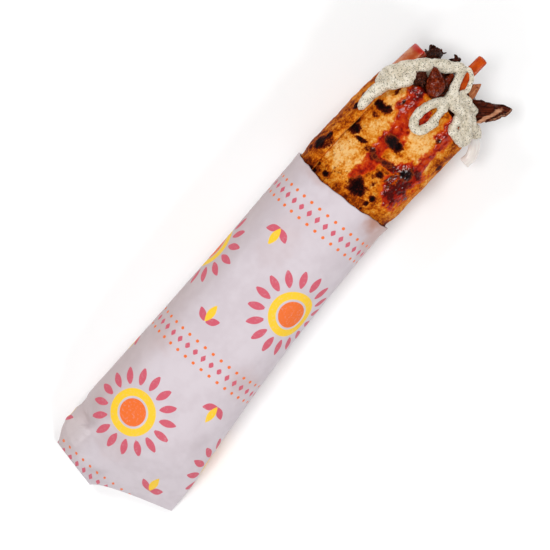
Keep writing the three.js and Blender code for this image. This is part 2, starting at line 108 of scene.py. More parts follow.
def section(x, angle, inset=0.0, scale=1.0, rise=None):
    """A point of the roll: a squarish oval across x, moved in by inset, flat where it would sink.

    The oval's half width and half height are multiplied by powers of the angle's cosine and sine.
    """
    rise = scale if rise is None else rise
    x, angle, inset, scale, rise = np.broadcast_arrays(x, angle, inset, scale, rise)
    c, s = np.cos(angle), np.sin(angle)
    across = (half_width(x) - inset) * scale * np.sign(c) * np.abs(c) ** (2 / SQUARENESS)
    up = (half_height(x) - inset) * rise * np.sign(s) * np.abs(s) ** (2 / SQUARENESS)
    y = centre_y(x) + across
    middle = underside(x) + half_height(x) - FLAT_DEPTH
    z = np.maximum(underside(x) + inset, middle + up)
    return np.stack([x + fold_shift(x, y), y, z], -1)


print("half width at the fold, middle and mouth:", [round(float(half_width(x)), 1) for x in (0, 90, 230)])

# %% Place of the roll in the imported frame
# The paper's solid starts a little before x = 0. The widest of its stations near the fold shows how
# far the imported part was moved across.
PAPER_LEAD = 0.3
FOLD_STATIONS = np.array([0, 1.5, 4, 8, 13, 20, 30, 42])
paper_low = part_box("paper")[0]
right_side = (centre_y(FOLD_STATIONS) - half_width(FOLD_STATIONS)).min()
TO_FRAME = np.array([paper_low.x / MM + PAPER_LEAD, paper_low.y / MM - right_side, 0.0])
print("from roll to frame, in mm:", TO_FRAME.round(3))

# %% [markdown]
# # Camera
# The photograph looks down on the wrap from above with a long lens, leaning a few degrees towards
# the mouth. The camera could be turned by three angles, but they are hard to read. Its own three
# directions are worked out instead, and it is turned so that the roll climbs to the upper right.

# %% Camera
LEAN = np.radians(5.5)
ROLL_SLANT = np.radians(50)
DISTANCE = 1.2
VIEW_WIDTH = 0.2475
SENSOR_WIDTH = 36
target = np.array([131.2, -1.08, 22.0]) + TO_FRAME
along = Vector((np.cos(LEAN), 0, -np.sin(LEAN)))
across = Vector((0, 1, 0))
toward_camera = Vector((np.sin(LEAN), 0, np.cos(LEAN)))
image_right = along * np.cos(ROLL_SLANT) - across * np.sin(ROLL_SLANT)
image_up = along * np.sin(ROLL_SLANT) + across * np.cos(ROLL_SLANT)

camera = bpy.data.objects.new("camera", bpy.data.cameras.new("camera"))
camera.data.sensor_width = SENSOR_WIDTH
camera.data.lens = SENSOR_WIDTH * DISTANCE / VIEW_WIDTH
turn = Matrix((image_right, image_up, toward_camera)).transposed().to_4x4()
camera.matrix_world = Matrix.Translation(Vector(target * MM) + toward_camera * DISTANCE) @ turn
bpy.context.scene.collection.objects.link(camera)
bpy.context.scene.camera = camera
print("lens:", round(camera.data.lens, 1), "mm, at", [round(v, 3) for v in camera.location])

# %% [markdown]
# # From arrays to meshes
# Every new piece is a closed surface. Modelling by hand would work too, but food has no plain faces,
# and a formula can be changed later. So each piece starts as a grid of points, rows along it and
# columns round it. Neighbours in the grid make quads, and a fan of triangles closes each open end.


# %% Grids, closed tubes and sheets
def grid_faces(rows, columns, wrap=True):
    """Quads between neighbouring rows and columns. The last column joins the first when it wraps."""
    r = np.arange(rows - 1)[:, None] * columns
    c = np.arange(columns if wrap else columns - 1)[None, :]
    n = (c + 1) % columns
    return np.stack([r + c, r + n, r + columns + n, r + columns + c], -1).reshape(-1, 4)


def closed_tube(grid):
    """Points and faces of a wrapped grid whose two ends are fans to the middle of the end rings."""
    rows, columns = grid.shape[:2]
    points = np.vstack([grid.reshape(-1, 3), grid[0].mean(0), grid[-1].mean(0)])
    c = np.arange(columns)
    n = (c + 1) % columns
    last = (rows - 1) * columns
    start = np.stack([n, c, np.full(columns, rows * columns)], -1)
    end = np.stack([last + c, last + n, np.full(columns, rows * columns + 1)], -1)
    return points, [grid_faces(rows, columns), start, end]


def closed_sheet(front, back):
    """Points and faces of two grids of one size, joined along their four borders."""
    rows, columns = front.shape[:2]
    points = np.vstack([front.reshape(-1, 3), back.reshape(-1, 3)])
    face = grid_faces(rows, columns, wrap=False)
    ids = np.arange(rows * columns).reshape(rows, columns)
    border = np.concatenate([ids[0], ids[1:, -1], ids[-1, -2::-1], ids[-2:0:-1, 0]])
    following = np.roll(border, -1)
    offset = rows * columns
    rim = np.stack([following, border, border + offset, following + offset], -1)
    return points, [face, face[:, ::-1] + offset, rim]


def outward(points, faces):
    """The same faces, turned round if the volume that they enclose comes out negative."""
    volume = 0.0
    for part in faces:
        for k in range(1, part.shape[1] - 1):
            a, b, c = points[part[:, 0]], points[part[:, k]], points[part[:, k + 1]]
            volume += np.einsum("ij,ij->", a, np.cross(b, c))
    return [part[:, ::-1] for part in faces] if volume < 0 else faces


def joined(bodies):
    """One list of points and faces from several closed bodies, all of them facing outwards."""
    points, faces, offset = [], [], 0
    for body_points, body_faces in bodies:
        points.append(body_points)
        faces += [part + offset for part in outward(body_points, body_faces)]
        offset += len(body_points)
    return np.vstack(points), faces


def with_ends(values):
    """Values for the two points that close a tube's ends, added after those of its grid."""
    return np.concatenate([values.reshape(-1, *values.shape[2:]), values[:1].mean(1), values[-1:].mean(1)])


print("a grid of 4 by 5 points has", len(grid_faces(4, 5)), "quads when it wraps")


# %% Meshes and pieces
def make_mesh(name, points, faces):
    """A smooth-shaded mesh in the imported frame, in metres, from points in roll millimetres."""
    mesh = bpy.data.meshes.new(name)
    rows = [row for part in faces for row in part.tolist()]
    mesh.from_pydata(((points + TO_FRAME) * MM).tolist(), [], rows)
    mesh.polygons.foreach_set("use_smooth", np.ones(len(mesh.polygons), bool))
    return mesh


def add_values(mesh, values):
    """Writes one number for each point under each name, for the material to read."""
    for name, numbers in values.items():
        layer = mesh.attributes.new(name, "FLOAT", "POINT")
        layer.data.foreach_set("value", np.asarray(numbers, np.float32).ravel())


def add_uv(mesh, uv):
    """Writes a UV map from one pair of numbers for each point."""
    corner_points = np.empty(len(mesh.loops), np.int32)
    mesh.loops.foreach_get("vertex_index", corner_points)
    layer = mesh.uv_layers.new(name="surface")
    layer.data.foreach_set("uv", np.asarray(uv, np.float32)[corner_points].ravel())


def add_piece(name, mesh, material, node):
    """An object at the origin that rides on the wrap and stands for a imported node."""
    piece = bpy.data.objects.new(name, mesh)
    bpy.context.scene.collection.objects.link(piece)
    mesh.materials.append(material)
    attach(piece, "root")
    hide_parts(node)
    triangles = sum(len(p.vertices) - 2 for p in mesh.polygons)
    print(f"{name}: {len(mesh.vertices)} points, {triangles} triangles")


def add_swept(name, grid, material, node, uv=None, values=None):
    """One piece from the wrapped grid of a tube, with a UV map and values for the grid's points."""
    mesh = make_mesh(name, *joined([closed_tube(grid)]))
    add_values(mesh, {key: with_ends(numbers) for key, numbers in (values or {}).items()})
    if uv is not None:
        add_uv(mesh, with_ends(uv))
    add_piece(name, mesh, material, node)


# %% [markdown]
# # Uneven surfaces
# Food is never smooth. A displacement in the shader would not change the real shape, so the points
# themselves are moved. Smooth noise gives every point a random height that changes slowly from
# place to place. Adding the same noise at finer scales, each weaker, gives lumps with small lumps.


# %% Smooth noise
CELL_STEPS = np.array([127.1, 311.7, 74.7])
SEED_STEP = 53.3
SCATTER = 43758.5453


def cell_value(cells, seed):
    """A repeatable random number from 0 to 1 for each cell: what is left of a large sine after its point."""
    return np.mod(np.sin(cells @ CELL_STEPS + seed * SEED_STEP) * SCATTER, 1.0)


def noise(points, size, seed=0):
    """Smooth noise from -1 to 1: the random values of the eight nearest cells, blended."""
    place = points / size
    base = np.floor(place)
    part = place - base
    part = part * part * (3 - 2 * part)
    total = 0.0
    for corner in range(8):
        step = np.array([corner & 1, corner >> 1 & 1, corner >> 2 & 1])
        weight = np.prod(np.where(step == 1, part, 1 - part), axis=-1)
        total = total + weight * cell_value(base + step, seed)
    return 2 * total - 1


def rough(points, size, seed=0, octaves=3):
    """Noise at several scales, each half the size and a little over half as strong."""
    return sum(0.55 ** k * noise(points, size * 0.5 ** k, seed + k) for k in range(octaves))


sample = noise(np.random.default_rng(1).random((999, 3)) * 90, 4)
print("noise from", sample.min().round(2), "to", sample.max().round(2))

# %% [markdown]
# # Node helpers
# Materials are made of small shader nodes. In Blender's editor they are placed and wired by hand,
# which takes many lines in a script. These helpers add one node each and hand back the socket that
# it puts out, so that a material reads like a formula.


# %% Nodes as formulas
class Look:
    """A material with a Principled shader, and helpers that add nodes to its tree."""

    def __init__(self, name, tree=None):
        if tree is None:
            self.material = bpy.data.materials.new(name)
            self.material.use_nodes = True
            tree = self.material.node_tree
        self.tree = tree
        self.shader = tree.nodes.get("Principled BSDF")

    def node(self, kind, inputs=(), **settings):
        """A new shader node with its settings, and with its inputs joined or set."""
        made = self.tree.nodes.new("ShaderNode" + kind)
        for key, value in settings.items():
            setattr(made, key, value)
        for key, value in dict(inputs).items():
            self.put(made.inputs[key], value)
        return made

    def put(self, socket, value):
        """Joins another socket to this one, or writes a plain value or colour on it."""
        if isinstance(value, bpy.types.NodeSocket):
            self.tree.links.new(value, socket)
        elif isinstance(value, tuple) and len(value) == 3 and socket.type == "RGBA":
            socket.default_value = (*value, 1)
        else:
            socket.default_value = value

    def math(self, operation, a, b=0.0, clamp=False):
        """Two values added, multiplied and so on."""
        return self.node("Math", {0: a, 1: b}, operation=operation, use_clamp=clamp).outputs[0]

    def ramp(self, value, low, high, to_low=0.0, to_high=1.0):
        """value from low to high becomes to_low to to_high along an S, and stays level beyond."""
        made = self.node("MapRange", {0: value, 1: low, 2: high, 3: to_low, 4: to_high},
                         interpolation_type="SMOOTHSTEP")
        return made.outputs[0]

    def mix(self, factor, a, b):
        """Colour a where the factor is 0 and colour b where it is 1."""
        made = self.node("Mix", data_type="RGBA")
        for index, value in ((0, factor), (6, a), (7, b)):
            self.put(made.inputs[index], value)
        return made.outputs[2]

    def colours(self, value, stops):
        """A colour that runs through the stops, given as (place, colour) pairs."""
        made = self.node("ValToRGB", {0: value})
        band = made.color_ramp
        while len(band.elements) < len(stops):
            band.elements.new(0.5)
        for element, (place, colour) in zip(band.elements, stops):
            element.position = place
            element.color = (*colour, 1)
        return made.outputs[0]

    def value(self, name):
        """The number that the mesh stores at each point under this name."""
        return self.node("Attribute", attribute_name=name).outputs["Fac"]

    def place(self):
        """Where each point lies on the object, in metres."""
        return self.node("TexCoord").outputs["Object"]

    def noise(self, size_mm, detail=2.0):
        """Soft noise from 0 to 1 whose broadest lumps have the given size."""
        inputs = {"Vector": self.place(), "Scale": 1 / (size_mm * MM), "Detail": detail, "Roughness": 0.55}
        return self.node("TexNoise", inputs).outputs["Fac"]

    def bump(self, height, distance_mm, strength=1.0, normal=None):
        """The normal of a surface with small relief, on top of another normal if one is given."""
        inputs = {"Height": height, "Distance": distance_mm * MM, "Strength": strength}
        if normal is not None:
            inputs["Normal"] = normal
        return self.node("Bump", inputs).outputs[0]

    def group(self, tree, **inputs):
        """The mask of a shared node group, with its sizes set."""
        made = self.node("Group", node_tree=tree)
        for key, value in inputs.items():
            self.put(made.inputs[key.replace("_", " ")], value)
        return made.outputs[0]

    def set(self, **inputs):
        """The finished material, with these values or sockets on its Principled shader."""
        for key, value in inputs.items():
            self.put(self.shader.inputs[key.replace("_", " ")], value)
        return self.material


def srgb(red, green, blue):
    """Screen colours from 0 to 255 as the linear light that shaders work in."""
    c = np.array([red, green, blue]) / 255
    return tuple(float(v) for v in np.where(c <= 0.04045, c / 12.92, ((c + 0.055) / 1.055) ** 2.4))


def new_mask(name, **sizes):
    """A shader node group that takes named sizes and puts out one mask, with its input sockets."""
    tree = bpy.data.node_groups.new(name, "ShaderNodeTree")
    for key, default in sizes.items():
        title = key.replace("_", " ")
        socket = tree.interface.new_socket(title, in_out="INPUT", socket_type="NodeSocketFloat")
        socket.default_value = default
    tree.interface.new_socket("Mask", in_out="OUTPUT", socket_type="NodeSocketFloat")
    return Look(name, tree), tree.nodes.new("NodeGroupInput").outputs


def finished_mask(look, mask):
    """The group's tree, with its mask joined to its output."""
    look.put(look.tree.nodes.new("NodeGroupOutput").inputs[0], mask)
    return look.tree


print("paper white in linear light:", [round(v, 3) for v in srgb(222, 212, 217)])

# %% [markdown]
# # Shared effects
# Several finishes need the same three patterns: soft mottling in two sizes, small round specks, and
# fibres that follow a piece along its own UV map. They could be copied into each material, but then
# a change would have to be made everywhere. So each is a node group that is built once and puts out
# one mask, and every material gives it its own sizes.


# %% Mottle, specks and fibres
MM_IN_A_METRE = 1000.0


def mottle_group():
    """Mask from 0 to 1: a soft noise of one size, with a third of a noise a quarter as large."""
    look, sizes = new_mask("Mottle", Size_mm=4.0)
    scale = look.math("DIVIDE", MM_IN_A_METRE, sizes["Size mm"])
    fine = look.math("MULTIPLY", scale, 4.0)
    broad = look.node("TexNoise", {"Vector": look.place(), "Scale": scale, "Detail": 3.0})
    small = look.node("TexNoise", {"Vector": look.place(), "Scale": fine, "Detail": 2.0})
    added = look.node("Math", {0: small.outputs["Fac"], 1: 0.35, 2: -0.175}, operation="MULTIPLY_ADD")
    total = look.math("ADD", broad.outputs["Fac"], added.outputs[0])
    return finished_mask(look, look.ramp(total, 0.3, 0.7))


def speck_group():
    """Mask of round specks: one in each cell of a random honeycomb, kept in a share of the cells."""
    look, sizes = new_mask("Specks", Cell_mm=1.0, Radius=0.25, Share=0.5)
    scale = look.math("DIVIDE", MM_IN_A_METRE, sizes["Cell mm"])
    cells = look.node("TexVoronoi", {"Vector": look.place(), "Scale": scale})
    core = look.math("MULTIPLY", sizes["Radius"], 0.6)
    dot = look.ramp(cells.outputs["Distance"], core, sizes["Radius"], 1.0, 0.0)
    pick = look.node("SeparateColor", {0: cells.outputs["Color"]})
    kept = look.math("LESS_THAN", pick.outputs[0], sizes["Share"])
    return finished_mask(look, look.math("MULTIPLY", dot, kept))


def fibre_group():
    """Mask of streaks: noise on the UV map, squeezed across the piece and drawn out along it."""
    look, sizes = new_mask("Fibres", Width_mm=0.5, Length_mm=5.0)
    uv = look.node("UVMap", uv_map="surface").outputs[0]
    lengthwise = look.math("DIVIDE", 1.0, sizes["Length mm"])
    crosswise = look.math("DIVIDE", 1.0, sizes["Width mm"])
    scale = look.node("CombineXYZ", {0: lengthwise, 1: crosswise, 2: 1.0})
    streaks = look.node("VectorMath", {0: uv, 1: scale.outputs[0]}, operation="MULTIPLY")
    pattern = look.node("TexNoise", {"Vector": streaks.outputs[0], "Scale": 1.0, "Detail": 3.0})
    return finished_mask(look, look.ramp(pattern.outputs["Fac"], 0.3, 0.7))


MOTTLE, SPECKS, FIBRES = mottle_group(), speck_group(), fibre_group()
print("node groups:", [tree.name for tree in (MOTTLE, SPECKS, FIBRES)])

# %% [markdown]
# # Paper
# The wrap is held in one thin sheet, rolled round it with a seam below, flattened at its end and
# folded under. Cloth simulation could crumple it, but its creases would fall by chance. Here the
# sleeve is the roll's own surface on a fine grid, with soft waves where the sheet is taut and
# creases where the photo has them. A second skin just inside gives it its thickness.

# %% Paper: waves and creases
PAPER_END = 179.5
# x and y of both ends of each crease, its height, and how far it slopes away on both sides
CREASES = [
    (11.7, 18.9, 22.2, 17.6, 2.0, 4.5), (22.2, 17.6, 29.9, 27.5, -1.6, 4.5),
    (22.2, 17.6, 17.9, 27.4, 1.4, 3.0), (22.2, 17.6, 36.0, 13.0, 0.5, 4.0),
    (2.0, 12.0, 14.0, -3.0, -0.6, 4.0), (6.0, -8.0, 24.0, -16.0, 0.6, 5.0),
    (12.0, -24.0, 40.0, -14.0, 0.5, 6.0), (22.0, -2.0, 60.0, 6.0, 0.35, 8.0),
    (40.0, 22.0, 92.0, 12.0, 0.4, 8.0), (96.0, -20.0, 150.0, -12.0, 0.35, 8.0),
    (120.0, 18.0, 170.0, 10.0, 0.35, 8.0), (60.0, -24.0, 84.0, -12.0, 0.4, 6.0),
    (88.0, 20.0, 100.0, 2.0, 0.3, 6.0),
]


def crease_height(x, y, table, reach=None):
    """Sum of ridges: each is highest on its line and slopes down evenly on both sides, as a tent does.

    One reach can be given for all the slopes. Otherwise each line's own is used.
    """
    total = np.zeros_like(x)
    for x0, y0, x1, y1, height, own_reach in table:
        run = np.array([x1 - x0, y1 - y0])
        length = np.hypot(*run)
        t = ((x - x0) * run[0] + (y - y0) * run[1]) / length ** 2
        near_x, near_y = x0 + np.clip(t, 0, 1) * run[0], y0 + np.clip(t, 0, 1) * run[1]
        away = np.hypot(x - near_x, y - near_y)
        total += height * np.maximum(1 - away / (reach or own_reach), 0)
    return total


def paper_relief(x, angle):
    """How far the sheet stands off the roll: waves and creases, a lifted free edge, and a seam below."""
    flat = section(x, angle)
    waves = 0.26 * rough(flat * np.array([0.3, 1, 1]), 13, seed=5, octaves=2)
    shown = smooth(flat[..., 2], 1.0, 4.0)
    creases = crease_height(flat[..., 0], flat[..., 1], CREASES)
    lift = 0.35 * smooth(x, PAPER_END - 5, PAPER_END) * (1 + noise(flat, 16, 9))
    seam = 0.3 * smooth(np.degrees(angle), -52, -51)
    return (waves + creases) * shown * smooth(x, -2, 4) + lift + seam


print(len(CREASES), "creases, the highest", max(crease[4] for crease in CREASES), "mm")

# %% Paper: sleeve and folded flap
PAPER_ROWS, PAPER_COLUMNS = 290, 248
paper_angle = np.radians(-90) + np.linspace(0, 2 * np.pi, PAPER_COLUMNS, endpoint=False)
paper_end = PAPER_END + 0.7 * np.cos(2 * paper_angle) + 0.4 * np.sin(3 * paper_angle + 1)
paper_end = paper_end + 0.22 * np.sin(9 * paper_angle) + 0.15 * np.sin(23 * paper_angle + 2)

outer_x = np.linspace(0, 1, PAPER_ROWS)[:, None] * paper_end
outer_skin = section(outer_x, paper_angle, -paper_relief(outer_x, paper_angle))
# the inner skin runs back from the free edge, closely at first and in long steps where it is hidden
back_shares = np.concatenate([1 - np.arange(0.3, 12, 0.9) / PAPER_END, np.linspace(0.9, 0.045, 12)])
inner_x = back_shares[:, None] * paper_end
thickness = 0.2 + 0.35 * smooth(PAPER_END - inner_x, 3, 12)
inner_skin = section(inner_x, paper_angle, thickness - paper_relief(inner_x, paper_angle))
sleeve = closed_tube(np.vstack([outer_skin, inner_skin]))

FLAP_ROWS, FLAP_COLUMNS = 40, 60
FLAP_MIDDLE, FLAP_HALF_WIDTH, FLAP_REACH = -4.2, 26.6, 34
FLAP_TOP, FLAP_BOTTOM = 1.2, 0.08


def flap_grid(height):
    """A sheet folded back under the belly: straight from the fold's edge to a rounded free edge."""
    share = np.linspace(-1, 1, FLAP_COLUMNS)
    y = FLAP_MIDDLE + FLAP_HALF_WIDTH * share
    start = fold_shift(0.0, y) + 0.9
    free = FLAP_REACH - 9 * np.abs(share) ** 2.2 + 0.5 * np.sin(7 * share)
    t = np.linspace(0, 1, FLAP_ROWS)[:, None]
    x = start + (free - start) * t
    grid = np.stack([x, np.broadcast_to(y, x.shape), np.full_like(x, height)], -1)
    grid[..., 2] += 0.12 * height * noise(grid * np.array([1, 1, 0]), 7, 3)
    return grid


LOWEST_PAPER = 0.02
flap = closed_sheet(flap_grid(FLAP_TOP), flap_grid(FLAP_BOTTOM))
paper_points, paper_faces = joined([sleeve, flap])
paper_points[:, 2] = np.maximum(paper_points[:, 2], LOWEST_PAPER)
print("paper points:", len(paper_points), "sleeve length:", round(float(outer_x.max()), 1), "mm")

# %% [markdown]
# # Print
# The sheet carries a cheerful print in three inks: sunbursts in staggered rows, small leaf sprigs
# and belts of diamonds. A picture could be laid on the sheet, but it would blur close up. Here each
# motif is a distance, and below zero is ink. The distances are worked out for every point of the
# flat sheet and stored in the mesh, and the material turns them into crisp edges.

# %% Print: distances to the motifs
REPEAT_ALONG, REPEAT_ROUND = 80.0, 58.0
SUNBURST_X, BELT_X = 44, 84
RAYS, RAY_MIDDLE, RAY_HALF_LENGTH, RAY_HALF_WIDTH = 16, 16.8, 4.4, 1.75
RING_RADIUS, RING_HALF_WIDTH, DISC_RADIUS = 9.2, 1.8, 6.4
DIAMOND_STEP = 4.6
UNPRINTED = 9.0


def flat_sheet(grid):
    """Place on the unrolled sheet: x along it, and the distance round it from the top line."""
    steps = np.linalg.norm(np.diff(grid, axis=1), axis=-1)
    round_it = np.concatenate([np.zeros((len(grid), 1)), np.cumsum(steps, axis=1)], axis=1)
    top = np.argmax(grid[len(grid) // 2, :, 2])
    return grid[..., 0], round_it[:, top:top + 1] - round_it


def wrapped(values, centre, period):
    """Distance from the nearest repeat of centre, from minus to plus half a period."""
    return (values - centre + period / 2) % period - period / 2


def sunburst(u, v):
    """An orange disc, a yellow ring, and rays shaped like long lenses round them."""
    r, turn = np.hypot(u, v), np.arctan2(v, u)
    ray = wrapped(turn, 0, 2 * np.pi / RAYS) * r
    t = np.clip((r - RAY_MIDDLE + RAY_HALF_LENGTH) / (2 * RAY_HALF_LENGTH), 0, 1)
    beyond = np.abs(r - RAY_MIDDLE) > RAY_HALF_LENGTH
    rays = np.abs(ray) - RAY_HALF_WIDTH * np.sin(np.pi * t) ** 0.8 + 3 * beyond
    return rays, np.abs(r - RING_RADIUS) - RING_HALF_WIDTH, r - DISC_RADIUS


def leaf(u, v, tilt, length, width):
    """A leaf that grows from the origin at a tilt: a sine arch on either side of its midrib."""
    p = u * np.cos(tilt) + v * np.sin(tilt)
    q = v * np.cos(tilt) - u * np.sin(tilt)
    arch = np.sin(np.pi * np.clip(p / length, 0, 1))
    return np.abs(q) - width * arch + 3 * (np.abs(p / length - 0.5) > 0.5)


def ink(u, v):
    """Distances to the red, the yellow and the orange ink at every place on the sheet.

    Every second row of sunbursts is moved round by half a repeat, and a bare margin follows the
    sheet's free edge.
    """
    row = np.floor((u - SUNBURST_X + REPEAT_ALONG / 2) / REPEAT_ALONG) % 2
    shift = 10 - REPEAT_ROUND / 2 * row
    du, dv = wrapped(u, SUNBURST_X, REPEAT_ALONG), wrapped(v, shift, REPEAT_ROUND)
    rays, ring, disc = sunburst(du, dv)
    belt = wrapped(u, BELT_X, REPEAT_ALONG)
    diamonds = (np.abs(belt) / 1.9 + np.abs(wrapped(v, 0, DIAMOND_STEP)) / 1.3 - 1) * 1.1
    dots = np.hypot(np.abs(belt) - 4.4, wrapped(v, DIAMOND_STEP / 2, DIAMOND_STEP)) - 0.8
    su, sv = np.abs(du) - 27.0, wrapped(v, shift + REPEAT_ROUND / 2, REPEAT_ROUND)
    side_leaves = np.minimum(leaf(su, sv, 2.2, 7.5, 1.7), leaf(su, sv, -2.2, 7.5, 1.7))
    middle_leaf = leaf(su, sv, np.pi, 9.5, 1.8)
    margin = UNPRINTED * smooth(u, 170, 172)
    red = np.minimum(np.minimum(rays, diamonds), side_leaves)
    return {"ink_red": red + margin, "ink_yellow": np.minimum(ring, middle_leaf) + margin,
            "ink_orange": np.minimum(disc, dots) + margin}


sheet_u, sheet_v = flat_sheet(outer_skin)
printed = ink(sheet_u, sheet_v)
unprinted = np.full(len(paper_points) - outer_skin[..., 0].size, UNPRINTED)
paper_values = {name: np.concatenate([away.ravel(), unprinted]) for name, away in printed.items()}
covered = {name: round(float((away < 0).mean()), 3) for name, away in printed.items()}
print("share of the sheet under each ink:", covered)

# %% [markdown]
# # Grease, and painted light and shade on the paper
# Fat from the bread soaks into the sheet at its rim and leaves warm blots. A warm band of painted
# shade darkens the sheet's far side, and beside the folds the creases and flat faces get painted
# light and painted shade. All of these could be painted by hand. Here most are ellipses seen from above.

# %% Paper: grease, and painted light and shade at the folds and the far side
# x, y, half lengths in x and y, and strength
STAINS = [(180, -20, 8, 6, 1.0), (174, -25, 15, 5, 0.6), (79, 19, 10, 7, 0.2), (86, -21, 9, 7, 0.22),
          (150, 6, 16, 9, 0.15), (30, 6, 14, 9, 0.2), (178, 12, 3, 9, 0.35)]
# ellipses of painted light on flat faces beside the folds, and of painted shade on faces and bands turned
# away
PAINTED_LIGHT = [(18, 23, 8, 7, 1.5), (10, 12, 6, 5, .7), (20, -24, 9, 5, .5)]
PAINTED_SHADE = [(33, 20, 13, 8, .7), (24, 10, 8, 5, .3), (6, 4, 7, 9, .75), (48, -24, 16, 5, .6),
       (110, -26, 30, 4, .4)]


def blotted(points, table, core=0.1, rim=1.35):
    """How much of a soft blot each place holds: ellipses seen from above, with ragged edges.

    A blot is full inside its core and gone at its rim, both given as shares of the ellipse.
    """
    x, y, z = points.T
    ragged = 0.35 * rough(points, 6, seed=21, octaves=3)
    total = np.zeros(len(points))
    for sx, sy, reach_x, reach_y, strength in table:
        away = np.hypot((x - sx) / reach_x, (y - sy) / reach_y) + ragged
        total = np.maximum(total, strength * (1 - smooth(away, core, rim)))
    return total * smooth(z, 3, 9)


paper_x, paper_y, paper_z = paper_points.T
paper_values["grease"] = blotted(paper_points, STAINS)
# painted light on the crease ridges and painted shade in their valleys, with painted light and shade on the
# flat faces
crease_light_and_shade = crease_height(paper_x, paper_y, CREASES, reach=2.0) * smooth(paper_z, 8, 12)
facet_light_and_shade = blotted(paper_points, PAINTED_LIGHT, 0.5, 1.1) - blotted(paper_points, PAINTED_SHADE)
paper_values["fold"] = crease_light_and_shade + 2.0 * facet_light_and_shade
# painted shade: a warmer, darker band along the far side of the sheet
paper_values["painted_side_shade"] = smooth(paper_y - centre_y(paper_x), 12, 29)
print("fold values from", paper_values["fold"].min().round(2), "to", paper_values["fold"].max().round(2))


# %% Paper material
INKS = {"ink_red": (203, 88, 106), "ink_yellow": (243, 198, 42), "ink_orange": (234, 108, 38)}


def paper_material():
    """Matt, faintly pink paper with crisp, slightly worn ink, greasy blots, a fine tooth and painted light
    and shade.
    """
    look = Look("printed paper")
    mottle = look.group(MOTTLE, Size_mm=16.0)
    sheet = look.mix(mottle, srgb(200, 189, 195), srgb(207, 197, 203))
    # the fold value is painted light where it is high and painted shade where it is low
    fold = look.value("fold")
    sheet = look.mix(look.ramp(fold, 0.1, 3.0, 0.0, 0.6), sheet, srgb(228, 220, 225))
    sheet = look.mix(look.ramp(fold, -3.0, -0.1, 0.6, 0.0), sheet, srgb(162, 148, 152))
    # painted shade along the sheet's far side, warm and darker
    painted_side_shade = look.math("MULTIPLY", look.value("painted_side_shade"), 0.42)
    sheet = look.mix(painted_side_shade, sheet, srgb(172, 146, 136))
    greasy = look.value("grease")
    sheet = look.mix(greasy, sheet, srgb(176, 132, 118))
    wear = look.ramp(look.noise(1.1, 3.0), 0.2, 0.5, 0.75, 1.0)
    for name, colour in INKS.items():
        covered = look.ramp(look.value(name), -0.16, 0.16, 1.0, 0.0)
        sheet = look.mix(look.math("MULTIPLY", covered, wear), sheet, srgb(*colour))
    tooth = look.noise(0.35, 2.0)
    rumple = look.noise(9.0, 4.0)
    normal = look.bump(tooth, 0.03, 0.5, look.bump(rumple, 0.5, 0.35))
    roughness = look.ramp(greasy, 0.0, 1.0, 0.62, 0.34)
    return look.set(Base_Color=sheet, Roughness=roughness, Normal=normal, Specular_IOR_Level=0.35)


paper_mesh = make_mesh("paper_wrap", paper_points, paper_faces)
add_values(paper_mesh, paper_values)
add_piece("paper_wrap", paper_mesh, paper_material(), "paper")

# %% [markdown]
# # Bread
# A flatbread is one thin sheet, rolled into a spiral that laps over itself. It is baked on a hot
# plate, so it blisters: each blister lifts and scorches while the dough round it stays pale. Noise
# alone would scatter the marks anywhere, so lists of places seen from above put the large ones where
# the photo has them, and noise makes their edges ragged.

# %% Bread: scorch marks and sauce, as places on its top
# x, y, half lengths in x and y, turn in degrees, and strength of each scorch mark
CHARS = np.array([
    (190.6, 21.3, 3.6, 2.0, 0, 1), (195.6, 19.9, 2.2, 1.1, 0, .9), (192.1, 19.0, 4.0, 1.4, -10, .6),
    (179.6, 16.6, 1.5, 2.6, 0, 1), (183.4, 15.4, .9, .7, 0, .8), (181.8, 10.6, 1.6, 1.6, 0, 1),
    (181.3, 13.7, .9, .7, 0, .6), (186.3, -3.5, 4.3, 4.5, 0, 1), (186.7, -12.3, 1.6, 1.6, 0, .95),
    (183.2, -11.5, 1.4, 1.1, 0, .8), (180.1, -11.0, .9, .9, 0, .8), (196.9, -7.9, 2.0, 2.0, -30, .85),
    (191.6, -8.4, 1.2, .9, 0, .7), (194.2, -6.6, .9, .7, 0, .5), (204.2, -16.7, 2.9, 2.9, 0, 1),
    (211.3, -4.4, 2.7, 4.7, -5, 1), (205.5, 13.6, 2.7, 3.6, 20, 1), (209.0, 15.0, 2.2, 1.4, 10, .9),
    (203.4, 8.3, 1.1, 3.1, 10, .9), (220.5, 11.0, 2.2, 3.8, -8, 1), (221.4, 7.4, 1.8, 1.8, 0, .9),
    (215.7, 10.5, 1.4, 1.8, 0, .55), (215.4, -26.2, 2.0, 1.0, 0, .8), (229.2, 9.2, 1.4, .8, 0, .8),
    (230.1, 9.6, 1.8, .5, -20, .7), (203.5, .9, 1.4, .9, 0, .7), (213.3, 19.4, 1.8, 1.1, 0, .9),
    (219.4, 20.3, 1.1, .9, 0, .6), (202.4, 2.4, 1.5, 2.4, 12, .62), (201.6, -2.2, 1.2, 2.6, -8, .55),
    (202.3, -7.2, 1.4, 2.8, 6, .68), (224.4, -18.1, 1.4, 1.4, 0, .7),
    (229.6, -23.9, 3.6, .9, 20, .6), (228.0, 4.4, 1.4, .7, 0, .8), (181.0, 3.5, .9, .7, 0, .6),
    (186.3, 23.2, 1.4, .9, 0, .7), (179.8, -21.2, .7, 1.8, 0, .5), (238.4, 5.7, 2.7, 1.4, -10, .9),
    (198.0, -12.2, 3.4, .8, -15, .65), (195.0, -14.0, 1.6, .8, 0, .65), (199.6, -9.8, 1.1, 1.0, 0, .65),
])
